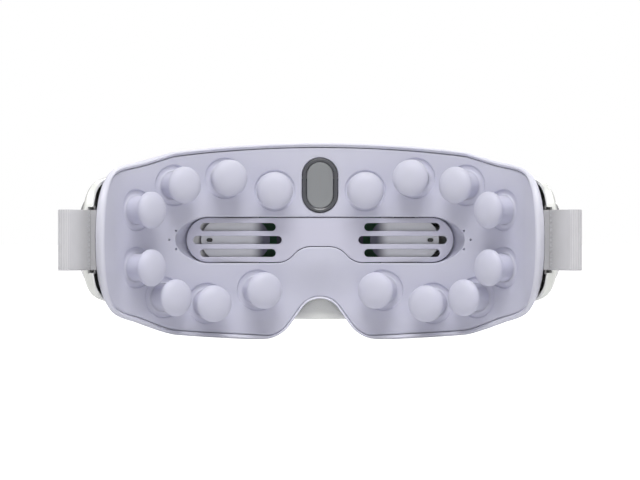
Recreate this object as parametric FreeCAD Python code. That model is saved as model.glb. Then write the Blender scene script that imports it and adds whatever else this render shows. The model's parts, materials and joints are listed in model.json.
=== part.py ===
"""Eye massager mask, in millimetres.

+Z is up as worn, -Y is the way the glossy front faces, +Y is the wearer's face, and
+X is the wearer's left.  The origin is on the rear face of the eye panel, midway
between the eyes.

The housing is laid out along one plan curve, the outside of the front cover seen
from above: a shallow front arc, a corner arc and a straight side.  A place on the
housing is (s, n, z): s runs along the plan curve from the middle, n goes from the
outside of the cover towards the face, and z is the height.
"""
import FreeCAD, Part
import math
import os

V = FreeCAD.Vector
UP = V(0, 0, 1)
SIDES = (("left", 1), ("right", -1))

# plan curve of the front cover
APEX_Y = -24.0
FRONT_RADIUS = 180.0
FRONT_HALF_WIDTH = 72.0
CORNER_RADIUS = 36.4
SIDE_ANGLE = math.radians(78)
SIDE_LENGTH = 44.0
FRONT_ANGLE = math.asin(FRONT_HALF_WIDTH / FRONT_RADIUS)
FRONT_ARC = FRONT_RADIUS * FRONT_ANGLE
CORNER_ARC = CORNER_RADIUS * (SIDE_ANGLE - FRONT_ANGLE)
CORNER_END = FRONT_ARC + CORNER_ARC
COVER_REACH = CORNER_END + SIDE_LENGTH

# front cover
WALL = 2.2
COVER_HALF_HEIGHT = 35.85
COVER_END_HALF_HEIGHT = 25.0
COVER_END_POWER = 30
COVER_CROWN_POWER = 2.8
COVER_LIFT = 0.85
COVER_DEPTH = 16.0
COVER_SIDE_DEPTH = 5.6
NOSE_WEB = (24.0, 2.3, -34.0, -23.0)

# rear frame and the dished pad that it holds
FRAME_REACH = 147.0
FRAME_HALF_HEIGHT = 43.5
FRAME_DROP = 0.9
FRAME_TAPER = 0.00082
CHEEK_BULGE = 1.9
CHEEK_S = 88.0
CHEEK_WIDTH = 34.0
PARTING_GAP = 0.3
EDGE_STEP = 0.6
RIM_CREST = 0.8
CREST_DEPTH = 1.8
RIM_ROUND = 1.3
PAD_THICKNESS = 2.8
PAD_SIDE_THICKNESS = 1.2
PAD_INSET = 2.0
PAD_SIDE_INSET = 4.6
PAD_GAP = 0.25
BOWL_Y = 0.5
BOWL_FLAT = 20.0
BOWL_RADIUS = 100.0
BOWL_TURN_X = 77.0
BOWL_SIDE_RADIUS = 28.0
BOWL_SIDE_ANGLE = math.radians(79)

# nose notch: an arch circle and a lobe circle joined by their common tangent
ARCH_RADIUS = 9.5
ARCH_Z = -35.3
LOBE_RADIUS = 14.5
LOBE_X = 25.0
LOBE_Z = -28.9

# massage nodes: name, base x, base z, lean of the axis towards the middle in degrees
NODES = (
    ("top_inner", 19.8, 21.6, 0),
    ("top_mid", 41.6, 27.0, 14),
    ("top_outer", 63.6, 23.8, 32),
    ("side_upper", 79.5, 12.9, 47),
    ("side_lower", 79.5, -12.0, 47),
    ("bottom_outer", 68.0, -25.0, 38),
    ("bottom_mid", 49.4, -27.7, 21),
    ("bottom_inner", 27.4, -22.0, 20),
)
NECK_RADIUS = 6.1
CAP_RADIUS = 8.0
NECK_LENGTH = 7.8
NODE_HEIGHT = 13.0
NODE_CLEARANCE = 0.3
GROOVE_INNER = 7.7
GROOVE_OUTER = 9.1
GROOVE_DEPTH = 0.8

# eye panel and what shows through its slots
PANEL_HALF_LENGTH = 58.5
PANEL_HALF_HEIGHT = 9.8
PANEL_THICKNESS = 2.2
PANEL_ARCH_TOP = -2.8
PANEL_GAP = 0.3
COLLAR = 2.0
SLOT_HEIGHT = 3.5
SLOT_PITCH = 5.7
SLOTS = ((SLOT_PITCH, 19.4, 52.5), (0.0, 16.8, 55.6), (-SLOT_PITCH, 19.4, 52.5))
LENS_Y = -3.4
LENS_THICKNESS = 1.0
LENS_INNER_X = 22.0
LENS_OUTER_X = 52.2
LENS_HALF_HEIGHT = 9.2
SENSOR_X = 48.5
SENSOR_LENGTH = 2.8
SENSOR_HEIGHT = 1.8
SOUND_HOLES = ((62.6, 4.0), (65.5, 0.0), (62.6, -4.0))
SOUND_HOLE_RADIUS = 0.45

# forehead contact plate
FOREHEAD_Z = 24.0
RING_WIDTH = 15.4
RING_HEIGHT = 23.7
PLATE_WIDTH = 11.6
PLATE_HEIGHT = 20.2
PLATE_Y = 0.9
RING_Y = 1.1

# side buttons
BUTTON_S = COVER_REACH - 23.5
RING_RADIUS = 18.5
BUTTON_RADIUS = 15.2
BUTTON_TRAVEL = 0.8
BOSS_RADIUS = 19.6
BOSS_N = -0.3
STEM_RADIUS = 3.0

# straps
STRAP_WIDTH = 25.4
STRAP_THICKNESS = 1.0
STRAP_BAR_S = 142.0
STRAP_BAR_N = 4.4
STRAP_BAR_RADIUS = 0.8
STRAP_BAR_LENGTH = 29.0
STRAP_LOOP_RADIUS = 1.7
STRAP_N = 5.1
STRAP_HINGE_S = COVER_REACH + 0.7
STRAP_LENGTH = 27.0
STRAP_ANGLE = math.radians(16)
STRAP_LAYERS = 5.5
SLOT_HALF = 14.0

# inside the housing, as distances behind the pad's face
AIRBAG_BACK = 3.0
AIRBAG_FRONT = 4.4
AIRBAG_LOW = -23.0
AIRBAG_HIGH = 26.0
AIRBAG_EYE_HALF = 13.0
CARRIER_BACK = 6.2
CARRIER_FRONT = 7.6
CARRIER_LOW = -20.4
CARRIER_HIGH = 27.0
CARRIER_EYE = (19.0, 62.5, 13.0)

# screws through the carrier, as x and z
SCREWS = tuple((x, z) for x in (-34, 34) for z in (25.0, -17.5))
BOSS_TOP_RADIUS = 2.6
SCREW_HOLE_RADIUS = 0.95
SHANK_RADIUS = 0.9

# air pump and hose
PUMP_S = -40.0
PUMP_N = 7.8
PUMP_Z = 10.0
PUMP_HEAD = (9.0, 9.6, 11.0)
PUMP_MOTOR_RADIUS = 4.0
PUMP_MOTOR_LENGTH = 15.0
OUTLET_LENGTH = 5.0
OUTLET_RISE = 2.5
HOSE_RADIUS = 1.8
HOSE_END_S = 34.0
HOSE_GAP = 1.0

# charging socket, a USB-C receptacle
PORT_S = -70.0
PORT_N = 8.5
PORT_WIDTH = 8.94
PORT_THICKNESS = 3.26
PORT_DEPTH = 7.35
PORT_WALL = 0.35
PORT_RECESS = 0.9


def dome(rim_radius, rim_height, top):
    """Arc from a rim up to a point on the axis; its centre lies on the axis."""
    rise = top - rim_height
    radius = (rim_radius ** 2 + rise ** 2) / (2 * rise)
    half_turn = math.asin(rim_radius / radius) / 2
    middle = V(radius * math.sin(half_turn), 0, top - radius * (1 - math.cos(half_turn)))
    return Part.Arc(V(rim_radius, 0, rim_height), middle, V(0, 0, top)).toShape()


def save(name, shape):
    """Write one sub-part to its STEP file."""
    shape.exportStep("parts/" + name + ".step")
    print(name, round(shape.Volume, 1), len(shape.Solids), shape.isValid())


# ---------------------------------------------------------------- plan curve
def plan(s):
    """x, y and heading of the plan curve at arc length s."""
    side = 1 if s >= 0 else -1
    s = abs(s)
    angle = min(s, FRONT_ARC) / FRONT_RADIUS
    x = FRONT_RADIUS * math.sin(angle)
    y = APEX_Y + FRONT_RADIUS * (1 - math.cos(angle))
    if s > FRONT_ARC:
        start = angle
        angle += (min(s, CORNER_END) - FRONT_ARC) / CORNER_RADIUS
        x += CORNER_RADIUS * (math.sin(angle) - math.sin(start))
        y += CORNER_RADIUS * (math.cos(start) - math.cos(angle))
    if s > CORNER_END:
        x += (s - CORNER_END) * math.cos(angle)
        y += (s - CORNER_END) * math.sin(angle)
    return side * x, y, side * angle


def at(s, n, z):
    """The point at arc length s, depth n and height z."""
    x, y, angle = plan(s)
    return V(x - n * math.sin(angle), y + n * math.cos(angle), z)


def inward(s):
    """Unit vector from the cover towards the face at arc length s."""
    angle = plan(s)[2]
    return V(-math.sin(angle), math.cos(angle), 0)


def placed(shape, s, n, z):
    """Move a shape made at the origin (x along the curve, y inward) to (s, n, z)."""
    copy = shape.copy()
    copy.rotate(V(0, 0, 0), UP, math.degrees(plan(s)[2]))
    copy.translate(at(s, n, z))
    return copy


def block(length, depth, height):
    """A box centred on the origin."""
    return Part.makeBox(length, depth, height, V(-length / 2, -depth / 2, -height / 2))


# ---------------------------------------------------------------- bowl of the pad
BOWL_TURN_ANGLE = math.asin((BOWL_TURN_X - BOWL_FLAT) / BOWL_RADIUS)
BOWL_CENTRE = V(BOWL_FLAT, BOWL_Y + BOWL_RADIUS, 0)
BOWL_SIDE_CENTRE = BOWL_CENTRE + V(
    (BOWL_RADIUS - BOWL_SIDE_RADIUS) * math.sin(BOWL_TURN_ANGLE),
    -(BOWL_RADIUS - BOWL_SIDE_RADIUS) * math.cos(BOWL_TURN_ANGLE), 0)
BOWL_SIDE_START = BOWL_SIDE_CENTRE + V(
    BOWL_SIDE_RADIUS * math.sin(BOWL_SIDE_ANGLE), -BOWL_SIDE_RADIUS * math.cos(BOWL_SIDE_ANGLE), 0)
BOWL_SIDE_NORMAL = V(-math.sin(BOWL_SIDE_ANGLE), math.cos(BOWL_SIDE_ANGLE), 0)


def bowl_height(p):
    """How far a point is above the bowl's face, towards the wearer, for x >= 0."""
    if p.x <= BOWL_FLAT:
        return p.y - BOWL_Y
    if math.atan2(p.x - BOWL_CENTRE.x, BOWL_CENTRE.y - p.y) < BOWL_TURN_ANGLE:
        return BOWL_RADIUS - math.hypot(p.x - BOWL_CENTRE.x, p.y - BOWL_CENTRE.y)
    heading = math.atan2(p.x - BOWL_SIDE_CENTRE.x, BOWL_SIDE_CENTRE.y - p.y)
    if heading < BOWL_SIDE_ANGLE:
        return BOWL_SIDE_RADIUS - math.hypot(p.x - BOWL_SIDE_CENTRE.x, p.y - BOWL_SIDE_CENTRE.y)
    return (V(p.x, p.y, 0) - BOWL_SIDE_START).dot(BOWL_SIDE_NORMAL)


def bowl_depth(s):
    """Distance from the cover's outside to the bowl's face at arc length s."""
    low = 1.0
    high = 40.0
    for _ in range(50):
        middle = (low + high) / 2
        if bowl_height(at(abs(s), middle, 0)) < 0:
            low = middle
        else:
            high = middle
    return low


def bowl_point(x, z):
    """The point on the bowl's face at x, with its slope angle, for x >= 0."""
    if x <= BOWL_FLAT:
        return V(x, BOWL_Y, z), 0.0
    if x <= BOWL_TURN_X:
        angle = math.asin((x - BOWL_FLAT) / BOWL_RADIUS)
        return V(x, BOWL_CENTRE.y - BOWL_RADIUS * math.cos(angle), z), angle
    angle = math.asin((x - BOWL_SIDE_CENTRE.x) / BOWL_SIDE_RADIUS)
    return V(x, BOWL_SIDE_CENTRE.y - BOWL_SIDE_RADIUS * math.cos(angle), z), angle


def bowl_edges(behind, x_start, angle_end):
    """Edges of the bowl's plan curve moved behind its face, from x_start to a slope angle."""
    def on(centre, radius, angle):
        return centre + V(math.sin(angle), -math.cos(angle), 0) * (radius + behind)
    first = min(angle_end, BOWL_TURN_ANGLE)
    edges = [Part.LineSegment(V(x_start, BOWL_Y - behind, 0), V(BOWL_FLAT, BOWL_Y - behind, 0)).toShape()]
    edges.append(Part.Arc(*(on(BOWL_CENTRE, BOWL_RADIUS, first * t) for t in (0, 0.5, 1))).toShape())
    if angle_end > BOWL_TURN_ANGLE:
        angles = (BOWL_TURN_ANGLE, (BOWL_TURN_ANGLE + angle_end) / 2, angle_end)
        edges.append(Part.Arc(*(on(BOWL_SIDE_CENTRE, BOWL_SIDE_RADIUS, a) for a in angles)).toShape())
    return edges


def bowl_band(back, front, x_start, angle_end, low, high):
    """A layer that follows the bowl on the +x side, between two distances behind its face."""
    near = Part.Wire(bowl_edges(back, x_start, angle_end))
    far = Part.Wire(bowl_edges(front, x_start, angle_end))
    ends = [(e.Vertexes[0].Point, e.Vertexes[-1].Point) for e in (near, far)]
    caps = [Part.LineSegment(ends[0][k], ends[1][k]).toShape() for k in (0, 1)]
    loop = Part.Wire(Part.__sortEdges__(near.Edges + far.Edges + caps))
    face = Part.Face(loop)
    face.translate(V(0, 0, low))
    return face.extrude(V(0, 0, high - low))


def mirrored(shape):
    """The same shape on the wearer's other side."""
    return shape.mirror(V(0, 0, 0), V(1, 0, 0))


def on_side(shape, side):
    """A shape made for the wearer's left, mirrored for the right."""
    return shape if side > 0 else mirrored(shape)


# ---------------------------------------------------------------- housing profiles
def closing(s, reach, power):
    """Falls from 1 to 0 at the end of the housing, which rounds that end."""
    return math.sqrt(max(0.0, 1 - (abs(s) / reach) ** power))


def cover_depth(s):
    """Depth of the front cover, from its outside to its rear edge."""
    return COVER_SIDE_DEPTH + (COVER_DEPTH - COVER_SIDE_DEPTH) / (1 + (abs(s) / 96) ** 10)


def cover_half(s):
    """Half height of the front cover before its end is rounded."""
    fall = max(0.0, 1 - (s / 150) ** 2) ** 1.4
    return COVER_END_HALF_HEIGHT + (COVER_HALF_HEIGHT - COVER_END_HALF_HEIGHT) * fall


def pad_thickness(s):
    """Thickness of the pad, which is thinner over the sides."""
    return PAD_SIDE_THICKNESS + (PAD_THICKNESS - PAD_SIDE_THICKNESS) / (1 + (s / 108) ** 24)


def rim_half(s):
    """Half height of the rear frame's rim before its end is rounded."""
    return FRAME_HALF_HEIGHT - FRAME_TAPER * s * s


def rim_shift(s, reach):
    """Upward shift of the rim's upper side, and of its lower side, which hangs lower at the cheeks."""
    drop = -FRAME_DROP * (1 - (s / reach) ** 2)
    bulge = CHEEK_BULGE * math.exp(-((abs(s) - CHEEK_S) / CHEEK_WIDTH) ** 2)
    return drop, drop - bulge * closing(s, reach, 21)


def stations(reach, count=15):
    """Arc lengths from end to end, closer together near the ends."""
    return [reach * math.sin(math.pi / 2 * 0.985 * k / count) for k in range(-count, count + 1)]


def spline(points):
    """A smooth edge through points."""
    curve = Part.BSplineCurve()
    curve.interpolate(points)
    return curve.toShape()


def polyline(points):
    """Straight edges through points."""
    return [Part.LineSegment(a, b).toShape() for a, b in zip(points, points[1:])]


def cover_rise(fullness):
    """Share of the cover's depth at a fullness, from 0 in the middle to 1 at its edge."""
    return 1 - math.sqrt(max(0.0, 1 - fullness ** 2))


def cover_section(s, inset, extra):
    """Section of the cover's solid, inset from its outside; extra carries it past the rear edge."""
    reach = COVER_REACH - inset
    half = cover_half(s) - inset
    lift = COVER_LIFT * (1 - (s / reach) ** 2)
    depth = cover_depth(s)
    end = (abs(s) / reach) ** COVER_END_POWER
    points = []
    for k in range(-12, 13):
        z = half * math.sqrt(1 - end) * math.sin(math.pi / 24 * k)
        fullness = abs(z / half) ** COVER_CROWN_POWER + end
        n = inset + (depth - inset) * cover_rise(fullness)
        points.append(at(s, n, z + lift))
    back = [points[-1]]
    if extra:
        back += [at(s, depth + extra, points[-1].z), at(s, depth + extra, points[0].z)]
    back += [points[0]]
    return Part.Wire([spline(points)] + polyline(back))


def cover_solid(inset, extra):
    """The cover's outside, or with an inset its inside, as a solid."""
    reach = COVER_REACH - inset
    return Part.makeLoft([cover_section(s, inset, extra) for s in stations(reach)], True, False)


def frame_section(s):
    """Section of the rear frame's outside: a rounded flare from the cover's edge to the rim."""
    close = closing(s, FRAME_REACH, 21)
    upper_shift, lower_shift = rim_shift(s, FRAME_REACH)
    lift = COVER_LIFT * (1 - (s / FRAME_REACH) ** 2)
    front = cover_depth(s) + PARTING_GAP
    back = bowl_depth(s) + RIM_CREST
    crest = back - CREST_DEPTH
    edge = (cover_half(s) - EDGE_STEP) * close
    rim = rim_half(s) * close
    round_off = RIM_ROUND * close

    def side(sign, shift):
        base = edge + sign * lift
        top = rim + sign * shift
        points = []
        for k in range(0, 6):
            a = math.pi / 2 * k / 6
            points.append((crest - (crest - front) * math.cos(a), base + (top - base) * math.sin(a)))
        for k in range(0, 4):
            a = math.pi / 2 * k / 3
            points.append((crest + CREST_DEPTH * math.sin(a), top - round_off * (1 - math.cos(a))))
        return [at(s, n, sign * z) for n, z in points]

    upper = side(1, upper_shift)
    lower = side(-1, lower_shift)
    edges = [spline(upper)] + polyline([upper[-1], lower[-1]])
    edges += [spline(lower[::-1])] + polyline([lower[0], upper[0]])
    return Part.Wire(edges)


def dish_section(s, reach, front, back, front_half, back_half, front_share):
    """Four-sided section between two depths; the front takes a share of the rim's shift."""
    close = closing(s, reach, 21)
    upper, lower = rim_shift(s, reach)
    f = front_half * close
    b = back_half * close
    corners = [at(s, front, f + upper * front_share), at(s, back, b + upper)]
    corners += [at(s, back, -b + lower), at(s, front, -f + lower * front_share)]
    return Part.Wire(polyline(corners + corners[:1]))


def pad_solid(gap, rise):
    """The pad's blank, or with a gap and a rise the pocket that it sits in."""
    reach = FRAME_REACH - PAD_SIDE_INSET + gap
    sections = []
    for s in stations(reach):
        depth = bowl_depth(s)
        half = rim_half(s) - PAD_INSET + gap
        front = depth - pad_thickness(s) - gap / 2
        sections.append(dish_section(s, reach, front, depth + rise, half, half, 1))
    return Part.makeLoft(sections, True, False)


def frame_cavity():
    """The hollow of the rear frame in front of the pad."""
    reach = FRAME_REACH - 2.4
    sections = []
    for s in stations(reach):
        front_half = cover_half(s) - EDGE_STEP - WALL
        back_half = rim_half(s) - 4.2
        front = cover_depth(s) - 1.5
        sections.append(dish_section(s, reach, front, bowl_depth(s) + 1, front_half, back_half, 0))
    return Part.makeLoft(sections, True, False)


def nose_notch(grow):
    """Tool that cuts the nose notch, grown by a wall's thickness."""
    arch = ARCH_RADIUS + grow
    lobe = LOBE_RADIUS - grow
    across = math.hypot(LOBE_X, LOBE_Z - ARCH_Z)
    turn = math.atan2(LOBE_Z - ARCH_Z, LOBE_X) + math.acos((arch + lobe) / across)
    low = (math.pi * 1.5 + turn + math.pi) / 2

    def on_arch(a):
        return V(arch * math.cos(a), 0, ARCH_Z + arch * math.sin(a))

    def on_lobe(a):
        return V(LOBE_X + lobe * math.cos(a), 0, LOBE_Z + lobe * math.sin(a))

    bottom = on_lobe(math.pi * 1.5)
    floor_z = -60.0
    outer_x = 45.0
    corners = [on_arch(turn), on_lobe(turn + math.pi), on_lobe(low), bottom]
    corners += [V(outer_x, 0, bottom.z), V(outer_x, 0, floor_z)]
    edges = [Part.Arc(V(-corners[0].x, 0, corners[0].z), on_arch(math.pi / 2), corners[0]).toShape()]
    for sign in (1, -1):
        a, b, c, d, e, f = (V(sign * p.x, 0, p.z) for p in corners)
        edges += polyline([a, b])
        edges.append(Part.Arc(b, c, d).toShape())
        edges += polyline([d, e, f])
    edges += polyline([V(outer_x, 0, floor_z), V(-outer_x, 0, floor_z)])
    loop = Part.Wire(Part.__sortEdges__(edges))
    face = Part.Face(loop)
    face.translate(V(0, -60, 0))
    return face.extrude(V(0, 140, 0))


# ---------------------------------------------------------------- eye panel outline
def panel_outline(grow):
    """Outline of the eye panel in the plane y = 0: round ends and a nose arch below."""
    half = PANEL_HALF_HEIGHT + grow
    end_x = PANEL_HALF_LENGTH - PANEL_HALF_HEIGHT
    arch_top = PANEL_ARCH_TOP - grow
    arch_radius = (half + arch_top) / (2 * (1 - math.cos(math.radians(50))))
    reach = arch_radius * math.sin(math.radians(50))
    flat = 4.0

    def half_edges(sign):
        def p(x, z):
            return V(sign * x, 0, z)
        turn = math.radians(25)
        top = (flat + arch_radius * math.sin(turn), arch_top - arch_radius * (1 - math.cos(turn)))
        middle = (flat + reach, (arch_top - half) / 2)
        foot_x = flat + 2 * reach
        low = (foot_x - arch_radius * math.sin(turn), -half + arch_radius * (1 - math.cos(turn)))
        return [
            Part.LineSegment(p(0, half), p(end_x, half)).toShape(),
            Part.Arc(p(end_x, half), p(end_x + half, 0), p(end_x, -half)).toShape(),
            Part.LineSegment(p(end_x, -half), p(foot_x, -half)).toShape(),
            Part.Arc(p(foot_x, -half), p(*low), p(*middle)).toShape(),
            Part.Arc(p(*middle), p(*top), p(flat, arch_top)).toShape(),
            Part.LineSegment(p(flat, arch_top), p(0, arch_top)).toShape(),
        ]

    return Part.Face(Part.Wire(Part.__sortEdges__(half_edges(1) + half_edges(-1))))


def stadium(width, height, y_back, y_front, x=0.0, z=0.0):
    """A slab with round ends, its long way along the larger of width and height."""
    radius = min(width, height) / 2
    dx = width / 2 - radius
    dz = height / 2 - radius
    depth = y_front - y_back
    core = Part.makeBox(max(2 * dx, 2 * radius), depth, max(2 * dz, 2 * radius))
    core.translate(V(x - max(dx, radius), y_back, z - max(dz, radius)))
    shape = core
    for sign in (-1, 1):
        centre = V(x + sign * dx, y_back, z + sign * dz)
        shape = shape.fuse(Part.makeCylinder(radius, depth, centre, V(0, 1, 0)))
    return shape.removeSplitter()


# ---------------------------------------------------------------- massage nodes
def node_frame(x, z, lean):
    """Base point and axis of one massage node on the wearer's left."""
    base = bowl_point(x, z)[0]
    angle = math.radians(lean)
    return base, V(-math.sin(angle), math.cos(angle), 0)


def massage_node(x, z, lean):
    """Mushroom node: a domed cap on a neck that ends flush with the back of the pad."""
    profile = polyline([
        V(0, 0, -PAD_THICKNESS), V(NECK_RADIUS, 0, -PAD_THICKNESS), V(NECK_RADIUS, 0, NECK_LENGTH - 0.6)])
    profile.append(Part.Arc(
        V(NECK_RADIUS, 0, NECK_LENGTH - 0.6), V(NECK_RADIUS + 0.55, 0, NECK_LENGTH + 0.15),
        V(CAP_RADIUS - 0.5, 0, NECK_LENGTH + 0.5)).toShape())
    profile.append(Part.Arc(
        V(CAP_RADIUS - 0.5, 0, NECK_LENGTH + 0.5), V(CAP_RADIUS, 0, NECK_LENGTH + 1.5),
        V(CAP_RADIUS - 0.25, 0, NECK_LENGTH + 2.8)).toShape())
    profile.append(dome(CAP_RADIUS - 0.25, NECK_LENGTH + 2.8, NODE_HEIGHT))
    profile += polyline([V(0, 0, NODE_HEIGHT), V(0, 0, -PAD_THICKNESS)])
    solid = Part.Face(Part.Wire(profile)).revolve(V(0, 0, 0), UP, 360)
    base, axis = node_frame(x, z, lean)
    solid.Placement = FreeCAD.Placement(base, FreeCAD.Rotation(UP, axis))
    return solid.cut(bowl_band(PAD_THICKNESS, 12, 0, math.radians(70), -60, 60))


def node_hole(x, z, lean):
    """Hole for a node's neck and the shallow groove around it."""
    base, axis = node_frame(x, z, lean)
    hole = Part.makeCylinder(NECK_RADIUS + NODE_CLEARANCE, 20, base - axis * 10, axis)
    start = base - axis * GROOVE_DEPTH
    outer = Part.makeCylinder(GROOVE_OUTER, 6, start, axis)
    return hole.fuse(outer.cut(Part.makeCylinder(GROOVE_INNER, 6, start, axis)))


# ---------------------------------------------------------------- main parts
def button_seat(side):
    """Flat round boss on the cover's side that carries the ring and the button."""
    axis = inward(side * BUTTON_S)
    foot = at(side * BUTTON_S, BOSS_N, 0)
    boss = Part.makeCylinder(BOSS_RADIUS, WALL + 0.6, foot, axis)
    stem_hole = Part.makeCylinder(STEM_RADIUS + 0.3, 8, foot - axis, axis)
    return boss, stem_hole


def front_cover():
    """Glossy dished cover with its nose web, button bosses and strap slots."""
    hollow = cover_solid(WALL, 3.0)
    half_width, thickness, low, high = NOSE_WEB
    web_back = APEX_Y + COVER_DEPTH + 0.2
    web = Part.makeBox(2 * half_width, thickness, high - low, V(-half_width, web_back - thickness, low))
    cover = cover_solid(0, 0).cut(hollow.cut(web))
    for _, side in SIDES:
        boss, stem_hole = button_seat(side)
        cover = cover.fuse(boss).cut(stem_hole)
        slot = placed(block(9, 2.6, 2 * SLOT_HALF), side * (COVER_REACH - 2), COVER_SIDE_DEPTH - 0.4, 0)
        cover = cover.cut(slot)
    for x, z in SCREWS:
        cover = cover.fuse(screw_boss(x, z))
    port = charge_port_solid(0.3, 6)
    return cover.cut(port)


def carrier_rear_y(x):
    """Y of the carrier's rear face at x, at the near side of a screw's head."""
    point, angle = bowl_point(abs(x) + 2, 0)
    return point.y - CARRIER_BACK / math.cos(angle)


def screw_boss(x, z):
    """Post inside the cover that takes one screw."""
    crown_y = APEX_Y + FRONT_RADIUS - math.sqrt(FRONT_RADIUS ** 2 - x * x)
    rise = cover_rise(abs((z - COVER_LIFT) / cover_half(x)) ** COVER_CROWN_POWER)
    inner_y = crown_y + cover_depth(x) * rise + WALL - 0.7
    top_y = carrier_rear_y(x) - (CARRIER_FRONT - CARRIER_BACK) - 0.9
    boss = Part.makeCylinder(BOSS_TOP_RADIUS, top_y - inner_y, V(x, inner_y, z), V(0, 1, 0))
    return boss.cut(Part.makeCylinder(SCREW_HOLE_RADIUS, 5, V(x, top_y - 5, z), V(0, 1, 0)))


def screws():
    """Four screws that hold the carrier to the cover."""
    solids = []
    for x, z in SCREWS:
        seat = carrier_rear_y(x) + 0.02
        head = Part.makeCylinder(1.9, 1.2, V(x, seat, z), V(0, 1, 0))
        shank = Part.makeCylinder(SHANK_RADIUS, 6.5, V(x, seat - 6.5, z), V(0, 1, 0))
        drive = Part.makeBox(2.4, 0.5, 0.5, V(x - 1.2, seat + 0.8, z - 0.25))
        cross = Part.makeBox(0.5, 0.5, 2.4, V(x - 0.25, seat + 0.8, z - 1.2))
        solids.append(head.fuse(shank).cut(drive).cut(cross))
    return Part.makeCompound(solids)


def carrier():
    """Inner plate behind the airbags that the cover's posts hold, open behind each eye."""
    half = bowl_band(CARRIER_BACK, CARRIER_FRONT, 0, BOWL_TURN_ANGLE, CARRIER_LOW, CARRIER_HIGH)
    inner, outer, half_height = CARRIER_EYE
    half = half.cut(Part.makeBox(outer - inner, 80, 2 * half_height, V(inner, -40, -half_height)))
    plate = half.fuse(mirrored(half)).removeSplitter()
    for x, z in SCREWS:
        plate = plate.cut(Part.makeCylinder(1.2, 40, V(x, -30, z), V(0, 1, 0)))
    return plate


def rear_frame():
    """Flared frame around the face side, with the pad's pocket and the nose notch."""
    blank = Part.makeLoft([frame_section(s) for s in stations(FRAME_REACH)], True, False)
    cavity = frame_cavity().cut(nose_notch(WALL))
    pocket = pad_solid(PAD_GAP, 4.0).cut(nose_notch(WALL - PAD_GAP - 0.6))
    return blank.cut(nose_notch(0)).cut(cavity).cut(pocket)


def face_pad():
    """Soft dished pad with its node holes, eye window, forehead window and sound holes."""
    pad = pad_solid(0, 0)
    deep = panel_outline(COLLAR + PANEL_GAP)
    deep.translate(V(0, -PANEL_THICKNESS - 0.4, 0))
    collar = deep.extrude(V(0, 12, 0)).common(bowl_filling())
    pad = pad.fuse(collar).cut(nose_notch(WALL - 0.6))
    window = panel_outline(PANEL_GAP)
    window.translate(V(0, -20, 0))
    pad = pad.cut(window.extrude(V(0, 60, 0)))
    pad = pad.cut(stadium(RING_WIDTH + 0.4, RING_HEIGHT + 0.4, -20, 20, 0, FOREHEAD_Z))
    for x, z in SOUND_HOLES:
        point, angle = bowl_point(x, z)
        normal = V(-math.sin(angle), math.cos(angle), 0)
        hole = Part.makeCylinder(SOUND_HOLE_RADIUS, 8, point - normal * 5, normal)
        pad = pad.cut(hole).cut(mirrored(hole))
    for _, x, z, lean in NODES:
        hole = node_hole(x, z, lean)
        pad = pad.cut(hole).cut(mirrored(hole))
    return pad


def bowl_filling():
    """A layer that starts halfway through the pad's thickness and ends 12 mm behind its face."""
    half = bowl_band(PAD_THICKNESS / 2, 12, 0, BOWL_TURN_ANGLE, -20, 20)
    return half.fuse(mirrored(half)).removeSplitter()


def eye_panel():
    """Flat panel over the eyes with three slots for each eye."""
    face = panel_outline(0)
    face.translate(V(0, -PANEL_THICKNESS, 0))
    panel = face.extrude(V(0, PANEL_THICKNESS, 0))
    for z, inner, outer in SLOTS:
        slot = stadium(outer - inner, SLOT_HEIGHT, -5, 5, (inner + outer) / 2, z)
        panel = panel.cut(slot).cut(mirrored(slot))
    return panel


def eye_lens():
    """White light plate behind the slots, with a round outer end and a sensor hole."""
    length = LENS_OUTER_X - LENS_INNER_X
    middle = (LENS_OUTER_X + LENS_INNER_X) / 2
    plate = stadium(length, 2 * LENS_HALF_HEIGHT, LENS_Y - LENS_THICKNESS, LENS_Y, middle, 0)
    return plate.cut(stadium(SENSOR_LENGTH, SENSOR_HEIGHT, -10, 0, SENSOR_X, 0))


def eye_sensor():
    """Wear sensor in the light plate's oval hole."""
    gap = 0.3
    return stadium(SENSOR_LENGTH - gap, SENSOR_HEIGHT - gap, LENS_Y - 1.6, LENS_Y - 0.3, SENSOR_X, 0)


def forehead_ring():
    """Bezel around the forehead contact plate."""
    ring = stadium(RING_WIDTH, RING_HEIGHT, -PAD_THICKNESS, RING_Y, 0, FOREHEAD_Z)
    return ring.cut(stadium(PLATE_WIDTH + 0.3, PLATE_HEIGHT + 0.3, -10, 10, 0, FOREHEAD_Z))


def forehead_plate():
    """Contact plate that rests on the forehead."""
    return stadium(PLATE_WIDTH, PLATE_HEIGHT, -2.0, PLATE_Y, 0, FOREHEAD_Z)


def forehead_heater():
    """Thin heating film on the back of the contact plate."""
    return stadium(PLATE_WIDTH - 1, PLATE_HEIGHT - 1, -2.5, -2.05, 0, FOREHEAD_Z)


def button_ring(side):
    """Chrome ring around the side button, rounded on top."""
    inner = BUTTON_RADIUS + 0.3
    profile = polyline([V(RING_RADIUS, 0, 0), V(inner, 0, 0), V(inner, 0, 1.0)])
    profile.append(Part.Arc(V(inner, 0, 1.0), V((inner + RING_RADIUS) / 2, 0, 1.9), V(RING_RADIUS, 0, 0.5)).toShape())
    profile += polyline([V(RING_RADIUS, 0, 0.5), V(RING_RADIUS, 0, 0)])
    ring = Part.Face(Part.Wire(profile)).revolve(V(0, 0, 0), UP, 360)
    s = side * BUTTON_S
    ring.Placement = FreeCAD.Placement(at(s, BOSS_N, 0), FreeCAD.Rotation(UP, inward(s) * -1))
    return ring


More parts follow.
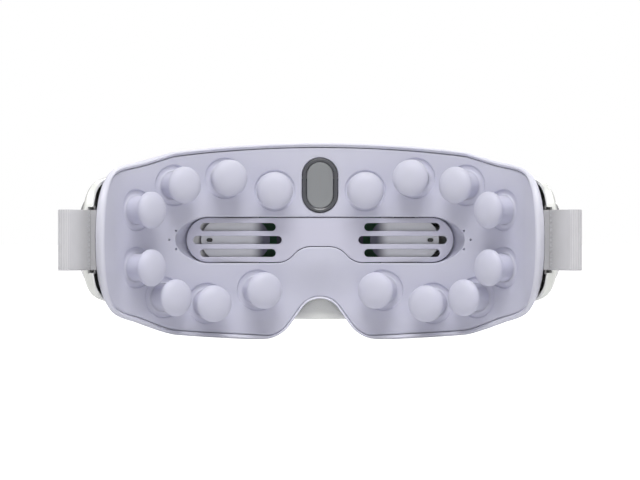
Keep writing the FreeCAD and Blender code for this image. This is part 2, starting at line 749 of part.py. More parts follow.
def button_cap(side):
    """Round button with a slightly domed face and a stem to its switch."""
    profile = polyline([
        V(0, 0, -3.3), V(STEM_RADIUS, 0, -3.3), V(STEM_RADIUS, 0, 0.95), V(BUTTON_RADIUS, 0, 0.95),
        V(BUTTON_RADIUS, 0, 1.35)])
    profile.append(dome(BUTTON_RADIUS, 1.35, 1.95))
    profile += polyline([V(0, 0, 1.95), V(0, 0, -3.3)])
    cap = Part.Face(Part.Wire(profile)).revolve(V(0, 0, 0), UP, 360)
    s = side * BUTTON_S
    cap.Placement = FreeCAD.Placement(at(s, BOSS_N, 0), FreeCAD.Rotation(UP, inward(s) * -1))
    return cap


def tact_switch(side):
    """Low tactile switch under the button's stem, on its little board."""
    tip = BOSS_N + 3.3 + BUTTON_TRAVEL + 0.1
    s = side * BUTTON_S
    body = placed(block(6, 1.1, 6), s, tip + 0.55, 0)
    board = placed(block(9, 0.5, 9), s, tip + 1.35, 0)
    return body.fuse(board)


def strap_bar(side):
    """Steel bar that the strap is sewn around."""
    foot = at(side * STRAP_BAR_S, STRAP_BAR_N, -STRAP_BAR_LENGTH / 2)
    return Part.makeCylinder(STRAP_BAR_RADIUS, STRAP_BAR_LENGTH, foot, UP)


def strap_tab(side):
    """The strap inside the housing: a sewn loop around the bar and the run to the slot."""
    s = side * STRAP_BAR_S
    half = STRAP_WIDTH / 2
    loop = Part.makeCylinder(STRAP_LOOP_RADIUS, STRAP_WIDTH, at(s, STRAP_BAR_N, -half), UP)
    run_length = STRAP_HINGE_S - STRAP_BAR_S - 0.7
    run = placed(block(run_length, STRAP_THICKNESS, STRAP_WIDTH), side * (STRAP_BAR_S + run_length / 2), STRAP_N, 0)
    return loop.fuse(run).cut(Part.makeCylinder(STRAP_BAR_RADIUS + 0.05, 40, at(s, STRAP_BAR_N, -20), UP))


def strap_hinge(side):
    """Point in the slot's mouth where the webbing bends."""
    return at(side * STRAP_HINGE_S, STRAP_N, 0)


def strap(side):
    """The free strap: webbing out of the slot with the rest of its length folded outside it."""
    half = STRAP_THICKNESS / 2
    low = -STRAP_WIDTH / 2
    fold = STRAP_LAYERS / 2
    folds_start = 3.5
    web = Part.makeBox(STRAP_THICKNESS, folds_start + 5, STRAP_WIDTH, V(-half, 0, low))
    bend = Part.makeCylinder(half, STRAP_WIDTH, V(0, 0, low), UP)
    run = STRAP_LENGTH - fold - folds_start
    folds = Part.makeBox(STRAP_LAYERS, run, STRAP_WIDTH, V(-half, folds_start, low))
    end = Part.makeCylinder(fold, STRAP_WIDTH, V(fold - half, folds_start + run, low), UP)
    solid = web.fuse([bend, folds, end]).removeSplitter()
    solid.rotate(V(0, 0, 0), UP, -math.degrees(STRAP_ANGLE))
    solid = on_side(solid, side)
    solid.translate(strap_hinge(side))
    return solid


# ---------------------------------------------------------------- inside the housing
def airbag():
    """C-shaped airbag behind the massage nodes, open around the eye."""
    bag = bowl_band(AIRBAG_BACK, AIRBAG_FRONT, 14.0, math.radians(46), AIRBAG_LOW, AIRBAG_HIGH)
    return bag.cut(Part.makeBox(70, 80, 2 * AIRBAG_EYE_HALF, V(-5, -40, -AIRBAG_EYE_HALF)))


def main_board():
    """Circuit board with its controller and a connector."""
    board = block(54, 1.2, 32)
    chip = block(12, 1.2, 12)
    chip.translate(V(-8, -1.2, 2))
    plug = block(7, 4, 4)
    plug.translate(V(18, -2.6, -9))
    return placed(board.fuse(chip).fuse(plug), 0, 12.5, 3)


def battery():
    """Pouch cell on the wearer's left."""
    return placed(block(34, 5.6, 24), 52, 7.6, -2)


def pump_body():
    """Head of the small air pump on the wearer's right."""
    head = block(*PUMP_HEAD)
    outlet = Part.makeCylinder(1.2, OUTLET_LENGTH, V(PUMP_HEAD[0] / 2, 0, OUTLET_RISE), V(1, 0, 0))
    return placed(head.fuse(outlet), PUMP_S, PUMP_N, PUMP_Z)


def pump_motor():
    """Motor of the air pump."""
    start = V(-PUMP_HEAD[0] / 2 - 0.1 - PUMP_MOTOR_LENGTH, 0, 0)
    motor = Part.makeCylinder(PUMP_MOTOR_RADIUS, PUMP_MOTOR_LENGTH, start, V(1, 0, 0))
    return placed(motor, PUMP_S, PUMP_N, PUMP_Z)


def air_valve():
    """Exhaust valve that lets the airbags down."""
    return placed(block(11, 8, 9), -52, 7.8, -10)


def air_hose():
    """Hose from the pump's outlet along the inside of the cover to the far airbag."""
    z = PUMP_Z + OUTLET_RISE
    start_s = PUMP_S + PUMP_HEAD[0] / 2 + OUTLET_LENGTH + HOSE_GAP
    middle = (start_s + HOSE_END_S) / 2
    path = Part.Wire([Part.Arc(*(at(s, PUMP_N, z) for s in (start_s, middle, HOSE_END_S))).toShape()])
    ring = Part.Wire([Part.Circle(at(start_s, PUMP_N, z), at_heading(start_s), HOSE_RADIUS).toShape()])
    return path.makePipeShell([ring], True, False)


def at_heading(s):
    """Direction along the plan curve at arc length s."""
    angle = plan(s)[2]
    return V(math.cos(angle), math.sin(angle), 0)


def speaker(side):
    """Small speaker behind the sound holes."""
    return placed(block(15, 3.4, 10), side * 80, 10.0, 0)


def vibration_motor(side):
    """Vibration motor with its shaft."""
    case = Part.makeCylinder(3.6, 11, V(-11, 0, 0), V(1, 0, 0))
    shaft = Part.makeCylinder(0.5, 4.2, V(0, 0, 0), V(1, 0, 0))
    return placed(on_side(case.fuse(shaft), side), side * 76, 7.2, 17)


def motor_weight(side):
    """Off-centre weight on the vibration motor's shaft."""
    disc = Part.makeCylinder(3.4, 2.8, V(1.0, 0, 0), V(1, 0, 0))
    disc = disc.cut(Part.makeBox(6, 8, 8, V(-1, -4, 0.9)))
    disc = disc.cut(Part.makeCylinder(0.55, 6, V(-1, 0, 0), V(1, 0, 0)))
    return placed(on_side(disc, side), side * 76, 7.2, 17)


def charge_port_solid(grow, extra):
    """Outside of the charging socket, which opens downwards through the cover's underside."""
    body = stadium(PORT_WIDTH + 2 * grow, PORT_THICKNESS + 2 * grow, 0, PORT_DEPTH + extra)
    body.rotate(V(0, 0, 0), V(1, 0, 0), 90)
    return placed(body, PORT_S, PORT_N, port_low() - extra)


def port_low():
    """Height of the charging socket's mouth, just inside the cover's underside."""
    return -(cover_half(PORT_S) - COVER_LIFT) + PORT_RECESS


def charge_port():
    """Charging socket with its tongue."""
    hollow = stadium(PORT_WIDTH - 2 * PORT_WALL, PORT_THICKNESS - 2 * PORT_WALL, -1, PORT_DEPTH - 1.15)
    hollow.rotate(V(0, 0, 0), V(1, 0, 0), 90)
    tongue = Part.makeBox(6.69, 0.7, 5.4, V(-3.345, -0.35, PORT_RECESS))
    shell = charge_port_solid(0, 0).cut(placed(hollow, PORT_S, PORT_N, port_low()))
    return shell.fuse(placed(tongue, PORT_S, PORT_N, port_low()))


def main():
    """Make every sub-part and write it out."""
    os.makedirs("parts", exist_ok=True)
    save("front_cover", front_cover())
    save("rear_frame", rear_frame())
    save("face_pad", face_pad())
    save("inner_carrier", carrier())
    save("housing_screws", screws())
    save("eye_panel", eye_panel())
    save("forehead_ring", forehead_ring())
    save("forehead_plate", forehead_plate())
    save("forehead_heater", forehead_heater())
    save("main_board", main_board())
    save("battery", battery())
    save("pump_body", pump_body())
    save("pump_motor", pump_motor())
    save("air_valve", air_valve())
    save("air_hose", air_hose())
    save("charge_port", charge_port())
    for name, side in SIDES:
        for place, x, z, lean in NODES:
            save(name + "_node_" + place, on_side(massage_node(x, z, lean), side))
        save(name + "_eye_lens", on_side(eye_lens(), side))
        save(name + "_eye_sensor", on_side(eye_sensor(), side))
        save(name + "_airbag", on_side(airbag(), side))
        save(name + "_button_ring", button_ring(side))
        save(name + "_button", button_cap(side))
        save(name + "_switch", tact_switch(side))
        save(name + "_strap_bar", strap_bar(side))
        save(name + "_strap_tab", strap_tab(side))
        save(name + "_strap", strap(side))
        save(name + "_speaker", speaker(side))
        save(name + "_vibration_motor", vibration_motor(side))
        save(name + "_motor_weight", motor_weight(side))


main()
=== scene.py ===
"""Eye massager mask: fine meshes, materials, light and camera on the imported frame."""
import json
import math

import bmesh
import bpy
from mathutils import Matrix, Vector, kdtree
from mathutils.geometry import delaunay_2d_cdt


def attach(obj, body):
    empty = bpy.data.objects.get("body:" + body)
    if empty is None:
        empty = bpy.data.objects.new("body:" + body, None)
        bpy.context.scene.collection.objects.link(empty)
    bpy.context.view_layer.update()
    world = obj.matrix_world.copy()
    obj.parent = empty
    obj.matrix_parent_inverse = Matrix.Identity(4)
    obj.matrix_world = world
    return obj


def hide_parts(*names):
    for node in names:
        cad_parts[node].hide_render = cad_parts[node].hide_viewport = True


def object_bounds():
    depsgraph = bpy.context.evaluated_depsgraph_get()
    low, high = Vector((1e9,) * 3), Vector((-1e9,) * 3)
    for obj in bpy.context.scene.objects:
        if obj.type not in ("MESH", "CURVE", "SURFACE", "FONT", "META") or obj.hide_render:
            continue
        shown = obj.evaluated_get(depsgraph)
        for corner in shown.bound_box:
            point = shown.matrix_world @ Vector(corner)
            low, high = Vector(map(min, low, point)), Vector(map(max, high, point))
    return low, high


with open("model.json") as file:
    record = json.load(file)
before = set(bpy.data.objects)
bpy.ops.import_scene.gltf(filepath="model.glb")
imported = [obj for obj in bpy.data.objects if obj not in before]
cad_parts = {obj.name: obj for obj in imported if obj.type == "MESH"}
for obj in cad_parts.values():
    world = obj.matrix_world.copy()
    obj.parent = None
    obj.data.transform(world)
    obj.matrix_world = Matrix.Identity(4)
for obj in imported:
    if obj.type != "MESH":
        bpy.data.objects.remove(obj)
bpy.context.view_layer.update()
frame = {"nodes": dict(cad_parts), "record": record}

MM = 0.001
SIDES = (("left", 1), ("right", -1))
CORNERS = ((-1, -1), (1, -1), (1, 1), (-1, 1))

# ---------------------------------------------------------------- dimensions, millimetres
# Plan curve of the cover.
APEX_Y = -24.0
FRONT_RADIUS = 180.0
FRONT_ANGLE = math.asin(72.0 / FRONT_RADIUS)
FRONT_ARC = FRONT_RADIUS * FRONT_ANGLE
CORNER_RADIUS = 36.4
SIDE_ANGLE = math.radians(78)
CORNER_END = FRONT_ARC + CORNER_RADIUS * (SIDE_ANGLE - FRONT_ANGLE)
COVER_REACH = CORNER_END + 44.0
WALL = 2.2
COVER_LIFT = 0.85
COVER_SIDE_DEPTH = 5.6
COVER_EXTRA_DEPTH = 10.4
COVER_DEPTH_S = 96.0
COVER_DEPTH_POWER = 10
COVER_HALF_HEIGHT = 35.85
COVER_END_HALF_HEIGHT = 25.0
COVER_FALL_S = 150.0
COVER_FALL_POWER = 1.4
COVER_END_POWER = 30
COVER_CROWN_POWER = 2.8
PARTING_GAP = 0.3
PARTING_STEP = 0.3
PARTING_STEP_DEPTH = 1.6
PARTING_STEP_BLEND = 0.5
SLOT_HALF_LENGTH = 11.0
SLOT_HALF_HEIGHT = 14.0
NOSE_WEB_THICKNESS = 2.0
NOSE_WEB_BOTTOM = -34.6

# Rear frame and pad.
FRAME_REACH = 147.0
FRAME_DROP = 0.9
FRAME_POWER = 21
FRAME_HALF_HEIGHT = 43.5
FRAME_TAPER = 0.00082
EDGE_STEP = 0.6
CHEEK_BULGE = 1.9
CHEEK_S = 88.0
CHEEK_WIDTH = 34.0
PAD_INSET = 2.0
PAD_SIDE_INSET = 4.6
RIM_CREST = 0.8
CREST_DEPTH = 1.8
GROOVE_DEPTH = 0.85
PAD_DEPTH = 2.4
SEAM = 0.14
BOWL_Y = 0.5
BOWL_FLAT = 20.0
BOWL_RADIUS = 100.0
BOWL_TURN = math.asin(0.57)
BOWL_TURN_U = BOWL_FLAT + BOWL_RADIUS * BOWL_TURN
BOWL_SIDE_RADIUS = 28.0
BOWL_SIDE_ANGLE = math.radians(79)
BOWL_SIDE_U = BOWL_TURN_U + BOWL_SIDE_RADIUS * (BOWL_SIDE_ANGLE - BOWL_TURN)
BOWL_SIDE_X = BOWL_FLAT + (BOWL_RADIUS - BOWL_SIDE_RADIUS) * math.sin(BOWL_TURN)
BOWL_SIDE_Y = BOWL_Y + BOWL_RADIUS - (BOWL_RADIUS - BOWL_SIDE_RADIUS) * math.cos(BOWL_TURN)

# Nose notch.
ARCH_RADIUS = 9.5
ARCH_Z = -35.3
LOBE_RADIUS = 14.5
LOBE_X = 25.0
LOBE_Z = -28.9
NOSE_DIP = 4.2
NOSE_WIDTH = 12.5

# Massage nodes: name, x, z and lean in degrees on the wearer's left.
NODES = (
    ("top_inner", 19.8, 21.6, 0), ("top_mid", 41.6, 27.0, 14), ("top_outer", 63.6, 23.8, 32),
    ("side_upper", 79.5, 12.9, 47), ("side_lower", 79.5, -12.0, 47), ("bottom_outer", 68.0, -25.0, 38),
    ("bottom_mid", 49.4, -27.7, 21), ("bottom_inner", 27.4, -22.0, 20))
NECK_RADIUS = 6.1
CAP_RADIUS = 8.0
NODE_HEIGHT = 13.0
NECK_FOOT = -2.8
NECK_TOP = 6.0
DOME_BASE = 9.2
NODE_HOLE = 6.25

# Eye panel, forehead contact and sound holes.
PANEL_LENGTH = 58.5
PANEL_HEIGHT = 9.8
PANEL_ARCH_TOP = -2.8
PANEL_ARCH_FLAT = 4.0
PANEL_ARCH_DEGREES = 50
SLOTS = ((5.7, 19.4, 52.5), (0.0, 16.8, 55.6), (-5.7, 19.4, 52.5))
SLOT_HEIGHT = 3.5
POCKET = 4.0
FOREHEAD_Z = 24.0
RING_SIZE = (15.4, 23.7)
PLATE_SIZE = (11.6, 20.2)
SOUND_HOLES = ((62.6, 4.0), (65.5, 0.0), (62.6, -4.0))

# Side button and strap.
BUTTON_S = COVER_REACH - 23.5
BOSS_BLEND_END = 22.2
BOSS_BLEND = 2.6
BOSS_N = -0.3
BUTTON_CROWN_RADIUS = 14.0
BUTTON_CROWN_BASE = 1.64
BUTTON_CROWN = 0.31
STRAP_WIDTH = 25.4
STRAP_THICKNESS = 1.0
STRAP_N = 5.1
STRAP_HINGE_S = COVER_REACH + 0.7
STRAP_ANGLE = math.radians(16)
STRAP_BAR_S = 142.0
STRAP_BAR_N = 4.4
FOLD_PITCH = 1.125
FOLD_START = 4.0
FOLD_NEAR = 4.6
FOLD_FAR = 24.25
TAPE_EDGE = 0.35
TAB_THICKNESS = 0.8
TAB_LOOP_RADIUS = 1.35
THREAD_RADIUS = 0.13
STITCH_LENGTH = 1.5
STITCH_PITCH = 2.1
STITCH_RISE = 0.16


def smooth(share):
    """Smooth step from 0 to 1."""
    share = min(1.0, max(0.0, share))
    return share * share * (3 - 2 * share)


# ---------------------------------------------------------------- shared curves
def plan(s):
    """x, y and heading of the cover's plan curve at arc length s."""
    side = 1 if s >= 0 else -1
    s = abs(s)
    angle = min(s, FRONT_ARC) / FRONT_RADIUS
    x = FRONT_RADIUS * math.sin(angle)
    y = APEX_Y + FRONT_RADIUS * (1 - math.cos(angle))
    if s > FRONT_ARC:
        start = angle
        angle += (min(s, CORNER_END) - FRONT_ARC) / CORNER_RADIUS
        x += CORNER_RADIUS * (math.sin(angle) - math.sin(start))
        y += CORNER_RADIUS * (math.cos(start) - math.cos(angle))
    if s > CORNER_END:
        x += (s - CORNER_END) * math.cos(angle)
        y += (s - CORNER_END) * math.sin(angle)
    return side * x, y, side * angle


def at(s, n, z):
    """The point at arc length s, depth n and height z."""
    x, y, angle = plan(s)
    return Vector((x - n * math.sin(angle), y + n * math.cos(angle), z))


def bowl(u, z, h=0.0):
    """The point at distance u along the bowl's face, height z, and h above the face."""
    side = 1 if u >= 0 else -1
    u = abs(u)
    if u <= BOWL_FLAT:
        x, y, angle = u, BOWL_Y, 0.0
    elif u <= BOWL_TURN_U:
        angle = (u - BOWL_FLAT) / BOWL_RADIUS
        x = BOWL_FLAT + BOWL_RADIUS * math.sin(angle)
        y = BOWL_Y + BOWL_RADIUS * (1 - math.cos(angle))
    else:
        angle = min(BOWL_SIDE_ANGLE, BOWL_TURN + (u - BOWL_TURN_U) / BOWL_SIDE_RADIUS)
        past = max(0.0, u - BOWL_SIDE_U)
        x = BOWL_SIDE_X + BOWL_SIDE_RADIUS * math.sin(angle) + past * math.cos(angle)
        y = BOWL_SIDE_Y - BOWL_SIDE_RADIUS * math.cos(angle) + past * math.sin(angle)
    return Vector((side * (x - h * math.sin(angle)), y + h * math.cos(angle), z))


def bowl_distance(x, y):
    """Distance along the bowl's face of its point nearest to x, y, and the height of x, y above it."""
    side = 1 if x >= 0 else -1
    x = abs(x)
    if x <= BOWL_FLAT:
        return side * x, y - BOWL_Y
    angle = math.atan2(x - BOWL_FLAT, BOWL_Y + BOWL_RADIUS - y)
    if angle < BOWL_TURN:
        height = BOWL_RADIUS - math.hypot(x - BOWL_FLAT, BOWL_Y + BOWL_RADIUS - y)
        return side * (BOWL_FLAT + BOWL_RADIUS * angle), height
    angle = math.atan2(x - BOWL_SIDE_X, BOWL_SIDE_Y - y)
    if angle < BOWL_SIDE_ANGLE:
        height = BOWL_SIDE_RADIUS - math.hypot(x - BOWL_SIDE_X, BOWL_SIDE_Y - y)
        return side * (BOWL_TURN_U + BOWL_SIDE_RADIUS * (angle - BOWL_TURN)), height
    dx = x - BOWL_SIDE_X - BOWL_SIDE_RADIUS * math.sin(BOWL_SIDE_ANGLE)
    dy = y - BOWL_SIDE_Y + BOWL_SIDE_RADIUS * math.cos(BOWL_SIDE_ANGLE)
    along = dx * math.cos(BOWL_SIDE_ANGLE) + dy * math.sin(BOWL_SIDE_ANGLE)
    height = dy * math.cos(BOWL_SIDE_ANGLE) - dx * math.sin(BOWL_SIDE_ANGLE)
    return side * (BOWL_SIDE_U + along), height


def bowl_depth(s):
    """Depth of the bowl's face behind the cover's outside at arc length s."""
    low = 1.0
    high = 40.0
    for _ in range(40):
        middle = (low + high) / 2
        point = at(abs(s), middle, 0)
        if bowl_distance(point.x, point.y)[1] < 0:
            low = middle
        else:
            high = middle
    return low


def cover_depth(s):
    """Depth of the cover at arc length s."""
    return COVER_SIDE_DEPTH + COVER_EXTRA_DEPTH / (1 + (abs(s) / COVER_DEPTH_S) ** COVER_DEPTH_POWER)


def cover_half(s):
    """Half height of the cover before its end is rounded."""
    fall = max(0.0, 1 - (s / COVER_FALL_S) ** 2) ** COVER_FALL_POWER
    return COVER_END_HALF_HEIGHT + (COVER_HALF_HEIGHT - COVER_END_HALF_HEIGHT) * fall


def rim_half(s):
    """Half height of the frame's rim before its end is rounded."""
    return FRAME_HALF_HEIGHT - FRAME_TAPER * s * s


def notch_z(x, grow):
    """Height of the nose notch's outline at x, with the wall around it grown."""
    x = abs(x)
    arch = ARCH_RADIUS + grow
    lobe = LOBE_RADIUS - grow
    across = math.hypot(LOBE_X, LOBE_Z - ARCH_Z)
    turn = math.atan2(LOBE_Z - ARCH_Z, LOBE_X) + math.acos((arch + lobe) / across)
    arch_end = arch * math.cos(turn)
    lobe_start = LOBE_X - lobe * math.cos(turn)
    if x <= arch_end:
        return ARCH_Z + math.sqrt(arch * arch - x * x)
    if x < lobe_start:
        share = (x - arch_end) / (lobe_start - arch_end)
        top = ARCH_Z + arch * math.sin(turn)
        return top + share * (LOBE_Z - lobe * math.sin(turn) - top)
    return LOBE_Z - math.sqrt(max(0.0, lobe * lobe - min(0.0, x - LOBE_X) ** 2))


def nose_dip(x, z):
    """How far the pad's face falls away towards the front around the nose."""
    return NOSE_DIP * math.exp(-(x / NOSE_WIDTH) ** 2) * smooth((-z - 8.0) / 18.0)


# ---------------------------------------------------------------- mesh tools
def piece(name, points, faces, finish, body="mask", slot=None, sharp=35, uv=None):
    """Mesh object from points in millimetres, welded and smooth shaded, riding on a body."""
    mesh = bpy.data.meshes.new(name)
    mesh.from_pydata([Vector(p) * MM for p in points], [], faces)
    if uv:
        layer = mesh.uv_layers.new(name="UVMap")
        for loop in mesh.loops:
            layer.data[loop.index].uv = uv[loop.vertex_index]
    obj = bpy.data.objects.new(name, mesh)
    bpy.context.scene.collection.objects.link(obj)
    weld = obj.modifiers.new("weld", "WELD")
    weld.merge_threshold = 2e-6
    bake(obj)
    finish_mesh(obj, sharp)
    obj.data.materials.append(finish)
    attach(obj, body)
    return obj


def bake(obj):
    """Apply an object's modifiers."""
    graph = bpy.context.evaluated_depsgraph_get()
    mesh = bpy.data.meshes.new_from_object(obj.evaluated_get(graph))
    obj.modifiers.clear()
    obj.data = mesh


def finish_mesh(obj, sharp):
    """Outward normals and smooth shading with creases above an angle."""
    bm = bmesh.new()
    bm.from_mesh(obj.data)
    bmesh.ops.dissolve_degenerate(bm, dist=1e-6, edges=bm.edges)
    bmesh.ops.recalc_face_normals(bm, faces=bm.faces)
    bm.to_mesh(obj.data)
    bm.free()
    obj.data.shade_smooth()
    obj.data.set_sharp_from_angle(angle=math.radians(sharp))
    weighted = obj.modifiers.new("weighted", "WEIGHTED_NORMAL")
    weighted.keep_sharp = True
    bake(obj)


def strips(count, size, start=0, around=True, ends=False):
    """Quads between count rows of size points each; ends also closes the first and last row."""
    faces = []
    for row in range(count - 1 + (1 if ends else 0)):
        a = start + row * size
        b = start + (row + 1) % count * size
        for k in range(size if around else size - 1):
            j = (k + 1) % size
            faces.append((a + k, a + j, b + j, b + k))
    return faces


def rows_piece(name, rows, finish, around=True, ends=False, **more):
    """A piece made of rows of points."""
    points = [p for row in rows for p in row]
    return piece(name, points, strips(len(rows), len(rows[0]), 0, around, ends), finish, **more)


def lathe(name, profile, place, finish, segments=96, **more):
    """A piece turned about its own Z from (radius, height) pairs, then placed by a matrix."""
    rows = []
    for radius, height in profile:
        turns = [2 * math.pi * k / segments for k in range(segments)]
        rows.append([place @ Vector((radius * math.cos(a), radius * math.sin(a), height)) for a in turns])
    return rows_piece(name, rows, finish, **more)


def arc(cx, cy, radius, start, end, count):
    """Points on an arc of count steps, angles in degrees."""
    turns = [math.radians(start + (end - start) * k / count) for k in range(count + 1)]
    return [(cx + radius * math.cos(a), cy + radius * math.sin(a)) for a in turns]


def axis_matrix(origin, axis):
    """Matrix that puts its Z along an axis at an origin."""
    return Matrix.Translation(origin) @ Vector(axis).to_track_quat("Z", "Y").to_matrix().to_4x4()


def turns_left(loop):
    """Whether a loop of points runs counter-clockwise."""
    return sum(p[0] * q[1] - q[0] * p[1] for p, q in zip(loop, loop[1:] + loop[:1])) > 0


def plate(outline, holes, lift, place, spacing, depth):
    """Points and faces of a plate's face with walls around it.

    outline and each hole are lists of loops, from the edge inwards on the plate; a loop is
    (points, height). lift adds a height at any point, and place turns (a, b, height) into space.
    """
    flat, heights, edges, rims = [], [], [], []
    for loops in [outline] + holes:
        for index, (loop, height) in enumerate(loops):
            start = len(flat)
            flat += [Vector(p) for p in loop]
            heights += [height] * len(loop)
            numbers = list(range(start, len(flat)))
            if index == 0:
                rims.append(numbers if turns_left(loop) else numbers[::-1])
            else:
                edges += list(zip(numbers, numbers[1:] + numbers[:1]))
    tree = kdtree.KDTree(len(flat))
    for k, p in enumerate(flat):
        tree.insert((p.x, p.y, 0), k)
    tree.balance()
    low = [min(p[k] for p in flat) for k in (0, 1)]
    high = [max(p[k] for p in flat) for k in (0, 1)]
    counts = [int((high[k] - low[k]) / spacing) for k in (0, 1)]
    for i in range(counts[0] + 1):
        for j in range(counts[1] + 1):
            a = low[0] + spacing * (i + (0.5 if j % 2 else 0.0))
            b = low[1] + spacing * j
            if tree.find((a, b, 0))[2] > spacing * 0.55:
                flat.append(Vector((a, b)))
                heights.append(0.0)
    points, _, faces, vert_ids, _, face_ids = delaunay_2d_cdt(flat, edges, rims, 0, 1e-5)
    kept = [f for f, ids in zip(faces, face_ids) if 0 in ids and len(ids) == 1]
    tops = []
    for p, ids in zip(points, vert_ids):
        height = heights[ids[0]] if ids else 0.0
        tops.append((p.x, p.y, height + lift(p.x, p.y)))
    solid = [place(*t) for t in tops]
    number = {}
    for k, ids in enumerate(vert_ids):
        for original in ids:
            number[original] = k
    for rim in rims:
        loop = [number[k] for k in rim]
        start = len(solid)
        solid += [place(tops[k][0], tops[k][1], tops[k][2] - depth) for k in loop]
        for k in range(len(loop)):
            j = (k + 1) % len(loop)
            kept.append((loop[k], loop[j], start + j, start + k))
    return solid, [tuple(f) for f in kept]


def circle(x, y, radius, count):
    """Points on a circle."""
    return arc(x, y, radius, 0, 360.0 * (count - 1) / count, count - 1)


def capsule(width, height, x=0.0, y=0.0, grow=0.0, count=24):
    """Points on a slot's outline, its long way along the larger of width and height."""
    radius = min(width, height) / 2
    dx, dy = width / 2 - radius, height / 2 - radius
    radius += grow
    if dx > dy:
        ends = ((x + dx, y, -90), (x - dx, y, 90))
    else:
        ends = ((x, y + dy, 0), (x, y - dy, 180))
    points = []
    for cx, cy, start in ends:
        points += arc(cx, cy, radius, start, start + 180, count)
    return fill_runs(points, 1.5)


def fill_runs(points, longest):
    """Add points so that no side of a loop is longer than a length."""
    out = []
    for k, p in enumerate(points):
        q = points[(k + 1) % len(points)]
        steps = max(1, math.ceil(math.dist(p, q) / longest))
        out += [tuple(a + (b - a) * i / steps for a, b in zip(p, q)) for i in range(steps)]
    return out


# ---------------------------------------------------------------- materials
def node_material(name, colour, roughness, **more):
    """Procedural finish: slow colour drift, fine grain in roughness and bump."""
    material = bpy.data.materials.new(name)
    material.use_nodes = True
    nodes = material.node_tree.nodes
    link = material.node_tree.links.new
    shader = nodes["Principled BSDF"]
    coords = nodes.new("ShaderNodeTexCoord")
    drift = nodes.new("ShaderNodeTexNoise")
    drift.inputs["Scale"].default_value = more.get("drift_scale", 35.0)
    drift.inputs["Detail"].default_value = 3.0
    grain = nodes.new("ShaderNodeTexNoise")
    grain.inputs["Scale"].default_value = more.get("grain_scale", 2500.0)
    grain.inputs["Detail"].default_value = 4.0
    ramp = nodes.new("ShaderNodeMapRange")
    ramp.inputs["To Min"].default_value = 1 - more.get("drift", 0.03)
    ramp.inputs["To Max"].default_value = 1 + more.get("drift", 0.03)
    tint = nodes.new("ShaderNodeVectorMath")
    tint.operation = "SCALE"
    tint.inputs[0].default_value = colour[:3]
    rough = nodes.new("ShaderNodeMapRange")
    rough.inputs["To Min"].default_value = max(0.0, roughness - more.get("rough_spread", 0.05))
    rough.inputs["To Max"].default_value = roughness + more.get("rough_spread", 0.05)
    bump = nodes.new("ShaderNodeBump")
    bump.inputs["Strength"].default_value = more.get("bump", 0.15)
    bump.inputs["Distance"].default_value = more.get("bump_depth", 0.00003)
    link(coords.outputs["Object"], drift.inputs["Vector"])
    link(coords.outputs["Object"], grain.inputs["Vector"])
    link(drift.outputs["Fac"], ramp.inputs["Value"])
    link(ramp.outputs["Result"], tint.inputs["Scale"])
    link(tint.outputs["Vector"], shader.inputs["Base Color"])
    link(grain.outputs["Fac"], rough.inputs["Value"])
    link(rough.outputs["Result"], shader.inputs["Roughness"])
    link(grain.outputs["Fac"], bump.inputs["Height"])
    link(bump.outputs["Normal"], shader.inputs["Normal"])
    shader.inputs["Metallic"].default_value = more.get("metallic", 0.0)
    shader.inputs["Coat Weight"].default_value = more.get("coat", 0.0)
    shader.inputs["Coat Roughness"].default_value = more.get("coat_roughness", 0.05)
    shader.inputs["Sheen Weight"].default_value = more.get("sheen", 0.0)
    if more.get("soft"):
        shader.inputs["Subsurface Weight"].default_value = more["soft"]
        shader.inputs["Subsurface Radius"].default_value = (0.8, 0.75, 1.0)
        shader.inputs["Subsurface Scale"].default_value = 0.002
    return material


def linear(*levels):
    """Linear colour from sRGB levels of 0 to 255."""
    return tuple((c / 255 / 12.92) if c < 11 else ((c / 255 + 0.055) / 1.055) ** 2.4 for c in levels)


